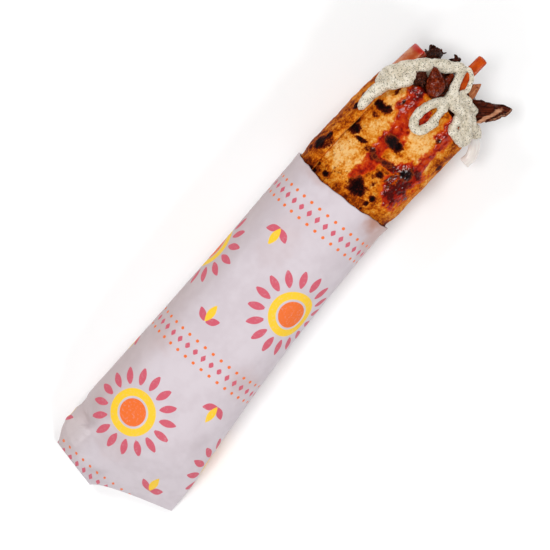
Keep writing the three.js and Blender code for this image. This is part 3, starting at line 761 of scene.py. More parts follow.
# x, y and half lengths of the places that stayed pale
PALES = np.array([
    (194.6, 10.1, 9.0, 6.8), (216.6, -11.0, 7.2, 5.9), (214.4, 5.7, 4.5, 3.1), (231.9, 5.7, 4.5, 2.7),
    (187.2, 4.8, 4.0, 4.0), (197.5, 15.4, 6.3, 2.7), (223.9, 14.5, 5.4, 2.2), (220.9, -14.5, 6.3, 3.1),
    (234.5, -4.4, 2.7, 2.2), (205.6, -8.8, 3.6, 4.0), (209.9, -19.9, 4.5, 2.7), (225.3, 8.3, 2.7, 2.7),
])
# where small blisters have browned in clusters
DOTTED = [(196, -12, 10, 8, 0, 1), (184, 12, 8, 9, 0, .85), (182, -9, 5, 5, 0, .7), (208, 15, 6, 4, 0, .5)]
# x, y and radius along each run of the red sauce that came down from the mouth
RED_RUNS = [
    [(241.5, 3.9, 2.6), (238.4, 2.2, 3.6), (231.9, 1.7, 3.6), (223.2, .8, 3.8), (217.9, -.8, 4.4),
     (214.4, -1.6, 4.4), (210.0, -.6, 2.4), (205.6, -.5, 3.0), (202.1, -.8, 3.2), (196.9, -1.3, 3.4),
     (192.5, -.3, 2.6), (188.4, 2.0, 1.2)],
    [(238.4, -15.4, 1.8), (234.9, -17.6, 2.2), (231.8, -18.9, 3.1), (228.3, -19.8, 3.6),
     (223.9, -20.7, 2.2), (218.7, -19.8, 2.2), (214.3, -19.4, 2.2), (209.9, -19.9, 2.2),
     (205.5, -19.0, 4.6), (201.1, -17.6, 5.6), (196.7, -17.6, 6.0), (192.3, -18.0, 4.6),
     (188.8, -17.7, 1.8)],
    [(230.5, -6.4, 1.5), (226.5, -7.6, 1.9)],
    [(202.2, -3.5, 1.2), (202.4, -8.0, 1.6), (203.2, -12.0, 2.6), (207, -15.5, 2.6)],
]
# where that sauce lies thick and dark
THICK = [(199, -17.3, 10.5, 6, 0, 1), (201.8, -2.4, 2.2, 7, 3, .8), (237, 1.5, 4, 4, 0, .7),
         (211, -1.5, 3, 4, 0, .6), (203.2, -9.5, 3.2, 6, 10, .9)]


def spots(x, y, table, ragged, core, rim):
    """The strongest of a list of ellipses at each place, full at its core and gone at its rim."""
    total = np.zeros_like(x)
    for cx, cy, reach_x, reach_y, degrees, strength in table:
        c, s = np.cos(np.radians(degrees)), np.sin(np.radians(degrees))
        p, q = (x - cx) * c + (y - cy) * s, (y - cy) * c - (x - cx) * s
        away = np.hypot(p / reach_x, q / reach_y) + ragged
        total = np.maximum(total, strength * (1 - smooth(away, core, rim)))
    return total


def run_depth(x, y, ragged):
    """How deep inside a streak each place is: 1 on its middle line, 0 at its ragged edge."""
    total = np.zeros_like(x)
    for run in RED_RUNS:
        for (x0, y0, r0), (x1, y1, r1) in zip(run[:-1], run[1:]):
            dx, dy = x1 - x0, y1 - y0
            t = np.clip(((x - x0) * dx + (y - y0) * dy) / (dx ** 2 + dy ** 2), 0, 1)
            away = np.hypot(x - x0 - t * dx, y - y0 - t * dy) / (r0 + t * (r1 - r0))
            total = np.maximum(total, 1 - smooth(away + ragged, 0.45, 1.5))
    return total


print(len(CHARS), "scorch marks,", len(PALES), "pale places,", len(RED_RUNS), "runs of red sauce")

# %% Bread: the spiral
LAP = np.radians(75)
LAP_EDGE = np.radians(45)
LAP_TURN = 2 * np.pi + LAP
BREAD_WALL, LAYER_GAP = 2.4, 0.4
BREAD_START, BREAD_SHOWN = 30.0, 174.0
UNDER_PAPER = 1.1
RIM_SIDE_X, RIM_CROWN = 227, 10.6
# x, angle in degrees, radius and height of the broad swellings
SWELLS = [(191, 112, 9, .9), (187, 68, 9, .8), (209, 74, 9, .9), (212, 118, 10, .8), (186, 142, 8, .7),
          (200, 40, 8, .7), (204, 155, 9, .8), (190, 200, 10, .9), (212, 225, 9, .7), (196, 325, 9, .8),
          (214, 345, 8, .7)]


def swell_height(x, angle):
    """Sum of round bumps, each a bell curve of the distance over the roll's surface."""
    total = 0.0
    for at, degrees, radius, height in SWELLS:
        round_it = wrapped(angle, np.radians(degrees), 2 * np.pi) * HALF_WIDTH
        total = total + height * np.exp(-2 * (np.hypot(x - at, round_it) / radius) ** 2)
    return total


def rim_x(angle):
    """Where the bread ends: it reaches further out on top than at its sides, along a wavy cut."""
    s = np.sin(angle)
    crown = np.where(s > 0, RIM_CROWN * np.abs(s) ** 0.5, 4 * s)
    return RIM_SIDE_X + crown + 0.7 * np.sin(5 * angle + 1) + 0.4 * np.sin(11 * angle)


def bread_inset(x, turn):
    """Depth of the sheet's outer face: it dives under its own outer edge late in the turn."""
    free = smooth(x, PAPER_END + 1.5, PAPER_END + 7)
    swell = swell_height(x, LAP_EDGE - turn) * (1 - smooth(turn, 4.6, 5.6))
    face = UNDER_PAPER + (np.maximum(0.3 - swell, -0.6) - UNDER_PAPER) * free
    return face + (BREAD_WALL + LAYER_GAP) * smooth(turn, 2 * np.pi - np.radians(70), 2 * np.pi - 0.1)


# few rows where the paper hides the bread, many beyond it, and closer columns at the sheet's edges
hidden_rows = np.linspace(BREAD_START, BREAD_SHOWN, 9)[:-1, None]
shown_share = 1 - (1 - np.linspace(0, 1, 136)[:, None]) ** 1.12
bread_turn = np.concatenate([np.linspace(0, 0.2, 16)[:-1], np.linspace(0.2, 2 * np.pi + 0.1, 300),
                             np.linspace(2 * np.pi + 0.1, LAP_TURN, 13)[1:]])
bread_angle = LAP_EDGE - bread_turn
rim_circle = 25 * np.stack([0 * bread_angle, np.cos(bread_angle), np.sin(bread_angle)], -1)
bread_end = rim_x(bread_angle) + 0.5 * rough(rim_circle, 4, 8)
bread_x = np.vstack([np.broadcast_to(hidden_rows, (len(hidden_rows), len(bread_turn))),
                     BREAD_SHOWN + (bread_end - BREAD_SHOWN) * shown_share])
flat_bread = section(bread_x, bread_angle, bread_inset(bread_x, bread_turn))
print("bread grid:", bread_x.shape)

# %% Bread: what is scorched
bx, by, bz = np.moveaxis(flat_bread, -1, 0)
on_top = smooth(bz, 15, 21) * smooth(np.sin(bread_angle), -0.15, 0.15)
ragged = 0.2 * rough(flat_bread, 2.6, seed=31, octaves=3)

# the sides and the belly, which the photo hides, get scattered marks of the same kind
SIDE_MARKS = 46
dice = np.random.default_rng(12)
side_ranges = [(180, 226), (-92, 8), (0.8, 3.4), (0.8, 3.0), (-40, 40), (0.5, 1)]
side_chars = np.stack([dice.uniform(low, high, SIDE_MARKS) for low, high in side_ranges], -1)
round_place = np.broadcast_to(wrapped(bread_angle, -np.pi / 2, 2 * np.pi) * HALF_WIDTH, bx.shape) - 40
lower_char = spots(bx, round_place, side_chars, ragged, 0.35, 1.5)
top_char = spots(bx, by, CHARS, ragged, 0.45, 1.45)
bread_char = top_char * on_top + lower_char * (1 - on_top)
halo_table = CHARS * np.array([1, 1, 1.7, 1.7, 1, 1]) + np.array([0, 0, 1.2, 1.2, 0, 0])
halo = spots(bx, by, halo_table, ragged, 0.2, 1.4) * on_top
print("scorched share:", round(float((bread_char > 0.5).mean()), 3))

# %% Bread: what is pale, browned and covered in sauce
pale_table = np.hstack([PALES, np.zeros((len(PALES), 1)), np.ones((len(PALES), 1))])
pale = spots(bx, by, pale_table, 0.4 * rough(flat_bread, 5, seed=35), 0.4, 1.5) * on_top
streaky = 0.46 * rough(flat_bread, 5.5, seed=41) + 0.34 * rough(flat_bread, 1.9, seed=45)
bread_red = run_depth(bx, by, streaky) * on_top
thick = spots(bx, by, THICK, 0.4 * rough(flat_bread, 3.0, seed=47), 0.3, 1.4) * on_top
bread_bake_and_shade = 0.5 + 0.2 * rough(flat_bread, 8, seed=51) + 0.17 * rough(flat_bread, 3.0, seed=55)
# painted shade: darker on the sides and belly, away from the top
bread_bake_and_shade = bread_bake_and_shade - 0.3 * pale + 0.16 * halo + 0.14 * (1 - on_top)
# darker within a few millimetres of the rim, and just past the paper's edge
bread_bake_and_shade = bread_bake_and_shade + 0.2 * (1 - smooth(bread_end - bx, 0.5, 2.5)) + 0.13 * (1 - smooth(bx, 181, 189))
# painted shade in bands along the far and near sides of the top
bread_bake_and_shade = bread_bake_and_shade + 0.08 * smooth(by, 14.5, 20) + 0.02 * smooth(-by, 20, 27)
dotted = spots(bx, by, DOTTED, 0.4 * rough(flat_bread, 5, 57), 0.4, 1.4)
print("share under red sauce:", round(float((bread_red > 0.5).mean()), 3))

# %% Bread: relief, thinned edge and rounded rim
RIM_ROUNDING, EDGE_TAPER = 1.3, 4.5
LOWEST_BREAD = 0.05
from_rim = np.clip((bread_end - bread_x) / RIM_ROUNDING, 0.06, 1)
rim_round = BREAD_WALL / 2 * (1 - np.sqrt(1 - (1 - from_rim) ** 2))
from_edge = np.clip(bread_turn * HALF_WIDTH / EDGE_TAPER, 0.04, 1)
edge_thin = np.broadcast_to(BREAD_WALL * 0.8 * (1 - np.sqrt(1 - (1 - from_edge) ** 2)), bx.shape)
free = smooth(bread_x, PAPER_END + 1, PAPER_END + 5)
relief = 0.3 * rough(flat_bread, 6.5, seed=61, octaves=2)
relief = relief + 0.15 * rough(flat_bread, 1.7, seed=63, octaves=3)
relief = relief + bread_char * (0.25 + 0.2 * noise(flat_bread, 0.9, 65))
film = smooth(bread_red, 0.3, 0.7)
relief = relief * (1 - 0.5 * film) + film * (0.22 + 0.2 * noise(flat_bread, 3.2, 67))
tucked = smooth(bread_turn, 2 * np.pi - 0.45, 2 * np.pi - 0.1)
relief = relief * (1 - tucked) + 0.3 * tucked
relief = relief * free
front_depth = bread_inset(bread_x, bread_turn) - relief + np.maximum(rim_round, edge_thin)
back_depth = bread_inset(bread_x, bread_turn) + BREAD_WALL - rim_round
bread_front = section(bread_x, bread_angle, front_depth)
bread_back = section(bread_x, bread_angle, np.maximum(back_depth, front_depth + 0.1))
bread_points, bread_faces = joined([closed_sheet(bread_front, bread_back)])
bread_points[:, 2] = np.maximum(bread_points[:, 2], LOWEST_BREAD)
print("bread points:", len(bread_points))


# %% Bread: values for its material
def both_faces(values, inside):
    """Values for the front of the sheet, and one value for its back, blended close to the rim."""
    edge = 1 - smooth(bread_end - bread_x, 0.4, 2.0)
    return np.concatenate([values.ravel(), (values * edge + inside * (1 - edge)).ravel()])


bread_mesh = make_mesh("bread_roll", bread_points, bread_faces)
add_values(bread_mesh, {"bake_and_shade": both_faces(bread_bake_and_shade, 0.35), "char": both_faces(bread_char, 0.0),
                        "red": both_faces(bread_red, 0.3), "thick": both_faces(thick, 0.0),
                        "dotted": both_faces(dotted, 0.0)})
print("the bread's material reads:", [layer.name for layer in bread_mesh.attributes][-5:])

# %% [markdown]
# # The look of the bread
# Baked dough runs from cream through gold to brown, and its scorch marks are brown at the edge and
# black within. The red sauce is thin and orange at its edges, and dark and shiny where it lies
# thick. One colour ramp gives the crust, and a second gives the sauce. Masks lay them over each
# other in the order in which they came on: crust, blisters, oil, sauce, and scorch where it shows
# through. A dry crust reflects nearly nothing, and only the wet sauce sparkles. The crust ramp
# also carries painted shade: the roll's sides and belly, and bands along its top, are darker.


# %% Bread material
CRUST = [(0.0, srgb(230, 184, 118)), (0.22, srgb(222, 158, 76)), (0.42, srgb(208, 128, 34)),
         (0.6, srgb(190, 98, 12)), (0.78, srgb(142, 56, 6)), (1.0, srgb(78, 20, 4))]
RED_SAUCE = [(0.1, srgb(200, 84, 12)), (0.42, srgb(180, 44, 4)), (0.68, srgb(146, 18, 1)),
             (1.0, srgb(74, 4, 1))]


def bread_material():
    """Baked dough with brown blisters, oil, wet red sauce, black scorch and painted side shade, from the
    mesh's values.
    """
    look = Look("flatbread")
    fine, blotchy = look.noise(0.8, 4.0), look.noise(2.4, 3.0)
    # the baking value also carries painted shade on the roll's sides
    bake_and_shade = look.math("ADD", look.value("bake_and_shade"), look.ramp(fine, 0.3, 0.7, -0.15, 0.15))
    bake_and_shade = look.math("ADD", bake_and_shade, look.ramp(blotchy, 0.35, 0.7, -0.15, 0.2))
    crust = look.colours(bake_and_shade, CRUST)
    dotted = look.value("dotted")
    specks = look.group(SPECKS, Cell_mm=1.5, Radius=0.3, Share=0.5)
    scattered = look.math("ADD", dotted, look.ramp(look.noise(6.0, 2.0), 0.45, 0.65, 0.0, 0.5), clamp=True)
    crust = look.mix(look.math("MULTIPLY", specks, scattered), crust, srgb(112, 44, 10))
    blisters = look.ramp(look.noise(1.7, 4.0), 0.53, 0.66)
    crust = look.mix(look.math("MULTIPLY", blisters, dotted), crust, srgb(96, 30, 8))

    red = look.math("ADD", look.value("red"), look.ramp(look.noise(1.2, 3.0), 0.3, 0.7, -0.16, 0.16))
    crust = look.mix(look.ramp(red, 0.0, 0.4, 0.0, 0.75), crust, srgb(204, 92, 14))
    heavy = look.math("MULTIPLY", look.value("thick"), 0.5)
    depth = look.math("ADD", look.math("MULTIPLY", red, 0.6), heavy)
    depth = look.math("ADD", depth, look.ramp(look.noise(2.6, 4.0), 0.35, 0.7, -0.25, 0.3))
    crust = look.mix(look.ramp(red, 0.22, 0.7), crust, look.colours(depth, RED_SAUCE))

    char = look.math("ADD", look.value("char"), look.ramp(fine, 0.3, 0.7, -0.16, 0.16))
    char = look.math("ADD", char, look.ramp(blotchy, 0.35, 0.7, -0.16, 0.1))
    wet = look.ramp(red, 0.45, 0.85)
    crust = look.mix(look.ramp(char, 0.06, 0.42, 0.0, 0.9), crust, srgb(136, 54, 10))
    crust = look.mix(look.ramp(char, 0.28, 0.6), crust, srgb(76, 17, 6))
    crust = look.mix(look.ramp(char, 0.52, 0.95), crust, srgb(16, 6, 6))
    roughness = look.ramp(wet, 0.0, 1.0, 0.5, 0.11)
    calm = look.math("SUBTRACT", 1.0, wet)
    tooth = look.math("MULTIPLY", look.noise(0.45, 4.0), calm)
    grain = look.math("MULTIPLY", look.noise(1.7, 3.0), calm)
    ripples = look.math("MULTIPLY", look.noise(2.1, 1.0), wet)
    normal = look.bump(grain, 0.5, 0.55, look.bump(ripples, 0.6, 0.8))
    normal = look.bump(tooth, 0.12, 0.55, normal)
    level = look.ramp(wet, 0.0, 1.0, 0.015, 0.24)
    return look.set(Base_Color=crust, Roughness=roughness, Normal=normal, Specular_IOR_Level=level)


add_piece("bread_roll", bread_mesh, bread_material(), "bread")

# %% [markdown]
# # White sauce
# The sauce is squeezed from a bottle, so it lies in ropes that run together where they touch.
# Metaballs would give one blob, and loose tubes would show where they cross. So the ropes follow
# routes seen from above and rest on whatever is under them. Their tubes are fused into one skin by
# a voxel remesh and smoothed, which gives the soft grooves between neighbouring ropes.

# %% White sauce: routes
# x, y and radius of points along each rope, with a height where it bridges a gap
ROPES = [
    [(213.6, 17.4, 1.8), (218.6, 17.6, 2.2), (224, 17.2, 2.7), (228.8, 15.4, 2.9), (233.2, 12.2, 3),
     (237.4, 9.2, 2.9), (241.6, 7.2, 2.5), (245.4, 4.4, 2)],
    [(227, 18.9, 1.6), (230.5, 18.8, 2.4), (234.8, 17.2, 2.8, 41.4), (239.6, 14.2, 2.9, 41.8),
     (244, 10.4, 2.9, 41), (248.8, 4.6, 2.9, 38.9), (252.8, -1, 2.6, 37), (255.6, -4.8, 2.2, 35.9),
     (256.5, -6.4, 2, 35.6)],
    [(228.6, 17, 2), (233.6, 14.9, 2.3), (238.6, 11.6, 2.4), (243.6, 8, 2.4), (247, 4.6, 2.2)],
    [(256, -6.2, 2, 35.8), (252.8, -6.8, 2, 37.4), (247.1, -8.6, 2.1, 39.6), (241.5, -9.9, 2.1),
     (236.3, -10.9, 2)],
    [(236.3, -10.9, 2), (230.4, -11.3, 2), (225.8, -10.6, 2.1)],
    [(225.8, -10.6, 2.1), (222.9, -8.9, 2.1), (222.7, -5.9, 2.1), (225.6, -4.1, 2.1), (231, -3.6, 2.1)],
    [(231, -3.9, 2.1), (235.8, -6, 2.1), (239.8, -9.2, 2)],
    [(256, -5.8, 1.1, 36), (257.2, -8.6, 1, 35.8), (255.4, -11.6, 1, 35.8), (252.4, -13, 1, 36.4)],
    [(252.4, -13, 1, 36.4), (249.4, -13.2, 1, 37), (246.8, -12.4, 1.1, 38.2), (244.4, -10.8, 1.2, 39.4)],
    [(242.4, -9.8, 2.3), (244.2, -11.6, 2.4), (241.2, -12.2, 2.5), (240.4, -16, 2.4), (239, -19, 2.2),
     (235.3, -18.9, 2.2), (232.2, -20.5, 2.2), (231.2, -24.6, 2.4), (230.6, -27.4, 2.2)],
    [(244.6, -11.9, 2.1), (245.8, -15, 2.1), (245.2, -18.8, 2.4), (243.4, -22.2, 2.6), (240.6, -24.4, 2.6),
     (238.4, -27.6, 2.6), (235.4, -29.4, 2.4), (232, -29.2, 2.2)],
    [(243.2, -14.8, 2.4), (240.8, -20.8, 2.8), (237, -23, 2.8), (234.4, -26.4, 2.8), (232, -27.2, 2.4)],
    [(242.6, -17.5, 2.8), (240.6, -22.5, 3), (237.4, -26.5, 2.9)],
]
print(len(ROPES), "ropes of white sauce")

# %% What the sauce lies on
MOUND_START, MOUND_LENGTH, MOUND_INSET = 234.0, 19.5, 4.0


def mound_scale(x):
    """How much the filling has narrowed: half an ellipse over its last stretch."""
    return np.sqrt(1 - np.clip((x - MOUND_START) / MOUND_LENGTH, 0, 1) ** 2)


def mound_rise(x):
    """How much the filling has lost in height: less than in width until it nears its tip."""
    return np.sqrt(mound_scale(x))


def top_height(x, y):
    """Height of what the sauce lies on: the bread's top as far as its rim, and then the mound."""
    def over(inset, scale, rise):
        """Height of the roll's oval at y, found from its half width and half height at x."""
        share = np.minimum(1, np.abs(y - centre_y(x)) / ((half_width(x) - inset) * scale))
        up = (half_height(x) - inset) * rise * (1 - share ** SQUARENESS) ** (1 / SQUARENESS)
        return half_height(x) - FLAT_DEPTH + up
    blend = smooth(x, 234, 243)
    return over(0.3, 1.0, 1.0) * (1 - blend) + over(MOUND_INSET, mound_scale(x), mound_rise(x)) * blend


print("top of the bread at its rim:", round(float(top_height(230.0, 0.0)), 1), "mm")


# %% Curves through points, and tubes along them
def curve(points, per_mm=2.0):
    """A smooth curve through the points, with evenly spread places: cubic pieces that share slopes."""
    points = np.asarray(points, float)
    padded = np.vstack([2 * points[0] - points[1], points, 2 * points[-1] - points[-2]])
    out = []
    for k in range(len(points) - 1):
        a, b, c, d = padded[k:k + 4]
        t = np.linspace(0, 1, 24, endpoint=False)[:, None]
        bend, twist = 2 * a - 5 * b + 4 * c - d, 3 * b - a - 3 * c + d
        out.append(0.5 * (2 * b + (c - a) * t + bend * t ** 2 + twist * t ** 3))
    fine = np.vstack(out + [points[-1:]])
    gone = np.concatenate([[0], np.cumsum(np.linalg.norm(np.diff(fine[:, :3], axis=0), axis=1))])
    even = np.linspace(0, gone[-1], max(6, int(gone[-1] * per_mm)))
    return np.stack([np.interp(even, gone, column) for column in fine.T], -1)


def sweep(path, half_wide, half_thick, sides=20, power=2.0, up=(0, 0, 1), twist=0.0):
    """A closed tube along a path: an oval section across it, drawn in to rounded ends."""
    forward = np.gradient(path, axis=0)
    forward /= np.linalg.norm(forward, axis=1)[:, None]
    side = np.cross(np.array(up, float), forward)
    side /= np.maximum(np.linalg.norm(side, axis=1), 1e-6)[:, None]
    rise = np.cross(forward, side)
    a = np.linspace(0, 2 * np.pi, sides, endpoint=False)
    c, s = np.cos(a), np.sin(a)
    c, s = np.sign(c) * np.abs(c) ** (2 / power), np.sign(s) * np.abs(s) ** (2 / power)
    wide = np.broadcast_to(half_wide, len(path))[:, None] * c
    thick = np.broadcast_to(half_thick, len(path))[:, None] * s
    w = np.broadcast_to(twist, len(path))[:, None]
    p, q = wide * np.cos(w) - thick * np.sin(w), wide * np.sin(w) + thick * np.cos(w)
    return path[:, None] + side[:, None] * p[..., None] + rise[:, None] * q[..., None]


def rounded_ends(path, reach):
    """A factor for each place on a path that falls to nothing along a quarter circle at both ends."""
    gone = np.concatenate([[0], np.cumsum(np.linalg.norm(np.diff(path, axis=0), axis=1))])
    near = np.minimum(gone, gone[-1] - gone)
    t = np.clip(near / reach, 0, 1)
    return np.sqrt(np.maximum(1 - (1 - t) ** 2, 0.002))


print("a curve through the first rope has", len(curve([place[:3] for place in ROPES[0]])), "places")


# %% White sauce: fused ropes
SAUCE_VOXEL, SAUCE_SMOOTHING = 0.36, 5


def rope_tube(route):
    """One rope: a round tube along its route, sunk a little into what it lies on."""
    rows = []
    for x, y, radius, *height in route:
        rows.append((x, y, height[0] if height else float(top_height(x, y)) + 0.62 * radius, radius))
    line = curve(rows)
    path, radius = line[:, :3], line[:, 3]
    uneven = 1 + 0.13 * noise(path, 2.8, 71) + 0.06 * noise(path, 1.3, 72)
    first, last = 1.6 * radius[0] * (path[1] - path[0]), 1.6 * radius[-1] * (path[-1] - path[-2])
    longer = np.vstack([path[0] - first, path, path[-1] + last])
    radius = np.concatenate([radius[:1], radius * uneven, radius[-1:]])
    size = radius * rounded_ends(longer, 1.2 * radius.mean())
    return closed_tube(sweep(longer, 1.05 * size, 0.92 * size, sides=24))


def fused(points, faces, voxel, smooth_steps):
    """The points and faces of one skin round overlapping bodies, smoothed in a few steps."""
    body = bpy.data.objects.new("fusing", make_mesh("fusing", points, faces))
    bpy.context.scene.collection.objects.link(body)
    remesh = body.modifiers.new("fuse", "REMESH")
    remesh.mode, remesh.voxel_size = "VOXEL", voxel * MM
    soften = body.modifiers.new("soften", "SMOOTH")
    soften.factor, soften.iterations = 0.5, smooth_steps
    ready = body.evaluated_get(bpy.context.evaluated_depsgraph_get()).to_mesh()
    flat = np.empty(3 * len(ready.vertices))
    ready.vertices.foreach_get("co", flat)
    quads = [np.array([p.vertices[:] for p in ready.polygons if len(p.vertices) == n]) for n in (3, 4)]
    body.to_mesh_clear()
    bpy.data.objects.remove(body)
    return flat.reshape(-1, 3) / MM - TO_FRAME, [part for part in quads if len(part)]


sauce_points, sauce_faces = joined([rope_tube(route) for route in ROPES])
sauce_points, sauce_faces = fused(sauce_points, sauce_faces, SAUCE_VOXEL, SAUCE_SMOOTHING)
broad = np.stack([noise(sauce_points, 3.4, seed) for seed in (74, 81, 88)], -1)
small = np.stack([rough(sauce_points, 1.4, seed, 2) for seed in (77, 84, 91)], -1)
# the mass at the right was heaped up from many turns, so it is lumpier than the ropes
piled = smooth(sauce_points[:, 0], 227, 232) * smooth(-sauce_points[:, 1], 10, 14)
heaped = np.stack([noise(sauce_points, 2.5, k) for k in (101, 103, 105)], -1)
sauce_points = sauce_points + 0.34 * broad + 0.14 * small + 0.75 * piled[:, None] * heaped
print("white sauce, fused:", len(sauce_points), "points")

# %% [markdown]
# # The look of the white sauce
# The sauce is yoghurt with herbs and pepper in it. It is nearly white and lets a little light in, so
# its shadows are soft. A picture of specks would stretch over the ropes. So round specks of two
# kinds are scattered through space by the shared group, and they keep their size everywhere.

# %% White sauce material
CREAM_DEPTH = (0.0012, 0.001, 0.0008)


def white_sauce_material():
    """Thick yoghurt sauce: nearly white, satin, with flecks of herb and pepper in it."""
    look = Look("white sauce")
    tone = look.mix(look.group(MOTTLE, Size_mm=3.0), srgb(196, 184, 162), srgb(226, 217, 200))
    herb = look.group(SPECKS, Cell_mm=0.85, Radius=0.42, Share=0.65)
    pepper = look.group(SPECKS, Cell_mm=0.75, Radius=0.38, Share=0.5)
    tone = look.mix(look.math("MULTIPLY", herb, 0.6), tone, srgb(120, 122, 98))
    tone = look.mix(look.math("MULTIPLY", pepper, 0.9), tone, srgb(48, 44, 38))
    normal = look.bump(look.noise(0.6, 3.0), 0.12, 0.4, look.bump(look.noise(2.6, 2.0), 0.4, 0.3))
    return look.set(Base_Color=tone, Roughness=0.34, Normal=normal, Subsurface_Weight=0.1,
                    Subsurface_Radius=CREAM_DEPTH, Subsurface_Scale=1.0, Specular_IOR_Level=0.3)


sauce_mesh = make_mesh("white_sauce_drizzle", sauce_points, sauce_faces)
add_piece("white_sauce_drizzle", sauce_mesh, white_sauce_material(), "white_sauce")

# %% [markdown]
# # Filling
# Roast meat is shaved off a spit, so the filling is a packed mass of thin, curled strips. They could
# be dropped with a physics solver, but that is slow and never lands as in the photo. Here the mass
# is one closed body that fills the bread and swells out of its mouth. Many strips are laid over the
# part that shows, each a flat ribbon bent along the mound with its own turn, size and lean.

# %% Filling: core
CORE_GAP = 0.75


def core_inset(x, angle):
    """In the bread, the core fills what the innermost layer leaves free. Past the rim it is the mound."""
    turn = np.mod(LAP_EDGE - angle, 2 * np.pi)
    innermost = np.where(turn < LAP + 0.25, turn + 2 * np.pi, turn)
    in_bread = bread_inset(x, innermost) + BREAD_WALL + CORE_GAP
    return in_bread + (MOUND_INSET - in_bread) * smooth(x, 239.6, 245.6)


core_angle = np.linspace(0, 2 * np.pi, 220, endpoint=False)
mound_share = np.sin(np.linspace(0.02, 1, 60) * np.pi / 2)
core_x = np.concatenate([np.linspace(42, 216, 14), np.linspace(217, 233.5, 24),
                         MOUND_START + 0.998 * MOUND_LENGTH * mound_share])[:, None]
core = section(core_x, core_angle, core_inset(core_x, core_angle), mound_scale(core_x), mound_rise(core_x))
core_middle = np.stack([core_x[:, 0] - 4, centre_y(core_x[:, 0]), 0 * core_x[:, 0] + 21], -1)
away = core - core_middle[:, None]
away /= np.linalg.norm(away, axis=-1, keepdims=True)
lumps = np.minimum(0.9 * rough(core, 4.5, 81, 4), 0.6) * smooth(core_x, 222, 238)
core = core + away * lumps[..., None]
print("core of the filling:", core.shape)

# %% Filling: strips over the mound
# Each strip is turned on from the last by the golden angle, which spreads them evenly.
STRIPS, GOLDEN_ANGLE = 170, 2.399963
strip_dice = np.random.default_rng(23)
bodies = [closed_tube(core)]
for k in range(STRIPS):
    turn, out = GOLDEN_ANGLE * k, np.sqrt((k + 0.5) / STRIPS) * 0.97
    x = MOUND_START + MOUND_LENGTH * np.sqrt(max(1 - out ** 2.4, 0)) - strip_dice.uniform(1.0, 2.2)
    radius = out * np.array([half_width(x) - 5.0, half_height(x) - 4.8])
    middle = np.array([x, centre_y(x) + radius[0] * np.cos(turn), 21.8 + radius[1] * np.sin(turn)])
    lean = strip_dice.normal(size=3) * np.array([0.7, 1, 1])
    outward_way = np.array([0.9 - 0.7 * out, out * np.cos(turn), out * np.sin(turn)])
    outward_way /= np.linalg.norm(outward_way)
    lean -= outward_way * (lean @ outward_way) * 0.85
    lean /= np.linalg.norm(lean)
    length, wide, thick = (strip_dice.uniform(*limits) for limits in ((5, 10), (1.2, 2.6), (0.5, 0.9)))
    t = np.linspace(-1, 1, 22)[:, None]
    path = middle + lean * t * length / 2 - outward_way * (0.12 * length) * t ** 2
    path = path + 0.5 * noise(path, 3.0, 90 + k % 7)[:, None] * outward_way
    size = rounded_ends(path, 1.6) * (1 + 0.25 * noise(path, 1.6, 95))
    ribbon = sweep(path, wide * size, thick * size, sides=12, power=2.4, up=outward_way,
                   twist=0.5 * strip_dice.normal() * t[:, 0])
    bodies.append(closed_tube(ribbon + 0.16 * noise(ribbon, 1.1, 97)[..., None]))
filling_points, filling_faces = joined(bodies)
print("filling:", len(bodies) - 1, "strips over the core")


# %% [markdown]
# # The look of roast meat
# Roast meat is nearly black where it is crisp and reddish brown where it was cut. Only the places
# that are wet with fat shine. One glossy material would turn the whole mound grey, because every
# facet would mirror a lamp. So a soft mask keeps most of it dry and lets patches of it shine.


# %% Meat materials
def meat_material(name, dark, mid, light, gloss, oily):
    """Roast meat: a fine grain from nearly black to a lighter cut, with patches of wet fat on it."""
    look = Look(name)
    mottle = look.group(MOTTLE, Size_mm=3.2)
    fine = look.noise(0.55, 4.0)
    tone = look.mix(mottle, srgb(*dark), srgb(*mid))
    tone = look.mix(look.ramp(fine, 0.5, 0.72, 0.0, 0.8), tone, srgb(*light))
    wet = look.ramp(look.noise(2.2, 3.0), 0.42, 0.62)
    roughness = look.ramp(wet, 0.0, 1.0, 0.55, gloss)
    normal = look.bump(fine, 0.2, 0.5, look.bump(look.noise(1.6, 3.0), 0.6, 0.6))
    level = look.ramp(wet, 0.0, 1.0, 0.03, oily)
    return look.set(Base_Color=tone, Roughness=roughness, Normal=normal, Specular_IOR_Level=level)


roast = meat_material("roast meat", (28, 8, 3), (80, 24, 8), (136, 58, 24), gloss=0.2, oily=0.2)
filling_mesh = make_mesh("meat_filling", filling_points, filling_faces)
add_piece("meat_filling", filling_mesh, roast, "filling")

# %% [markdown]
# # Vegetables
# A wedge of tomato, two pieces of pepper and a slice of onion stand in the mouth. They could be
# sculpted, but a knife leaves plain sections. So each is a section swept along its own length: a
# sector for the wedge, a rounded bar for the pepper, a flat band for the onion. Small noise on
# their faces keeps the cuts from looking machined.


# %% Turning and placing
def turned(points, *turns):
    """Points turned about an axis through the origin by each (axis, degrees) in order."""
    for axis, degrees in turns:
        points = points @ np.array(Matrix.Rotation(np.radians(degrees), 3, axis)).T
    return points


def rounded_outline(corners, reach):
    """A closed outline whose corners are rounded, each with seven points on a curve."""
    corners = np.asarray(corners, float)
    before, after = np.roll(corners, 1, 0) - corners, np.roll(corners, -1, 0) - corners
    reach = np.broadcast_to(reach, len(corners))
    start = corners + before * np.minimum(0.5, reach / np.linalg.norm(before, axis=1))[:, None]
    end = corners + after * np.minimum(0.5, reach / np.linalg.norm(after, axis=1))[:, None]
    t = np.linspace(0, 1, 7)[None, :, None]
    bend = (1 - t) ** 2 * start[:, None] + 2 * t * (1 - t) * corners[:, None] + t ** 2 * end[:, None]
    return bend.reshape(-1, 2)


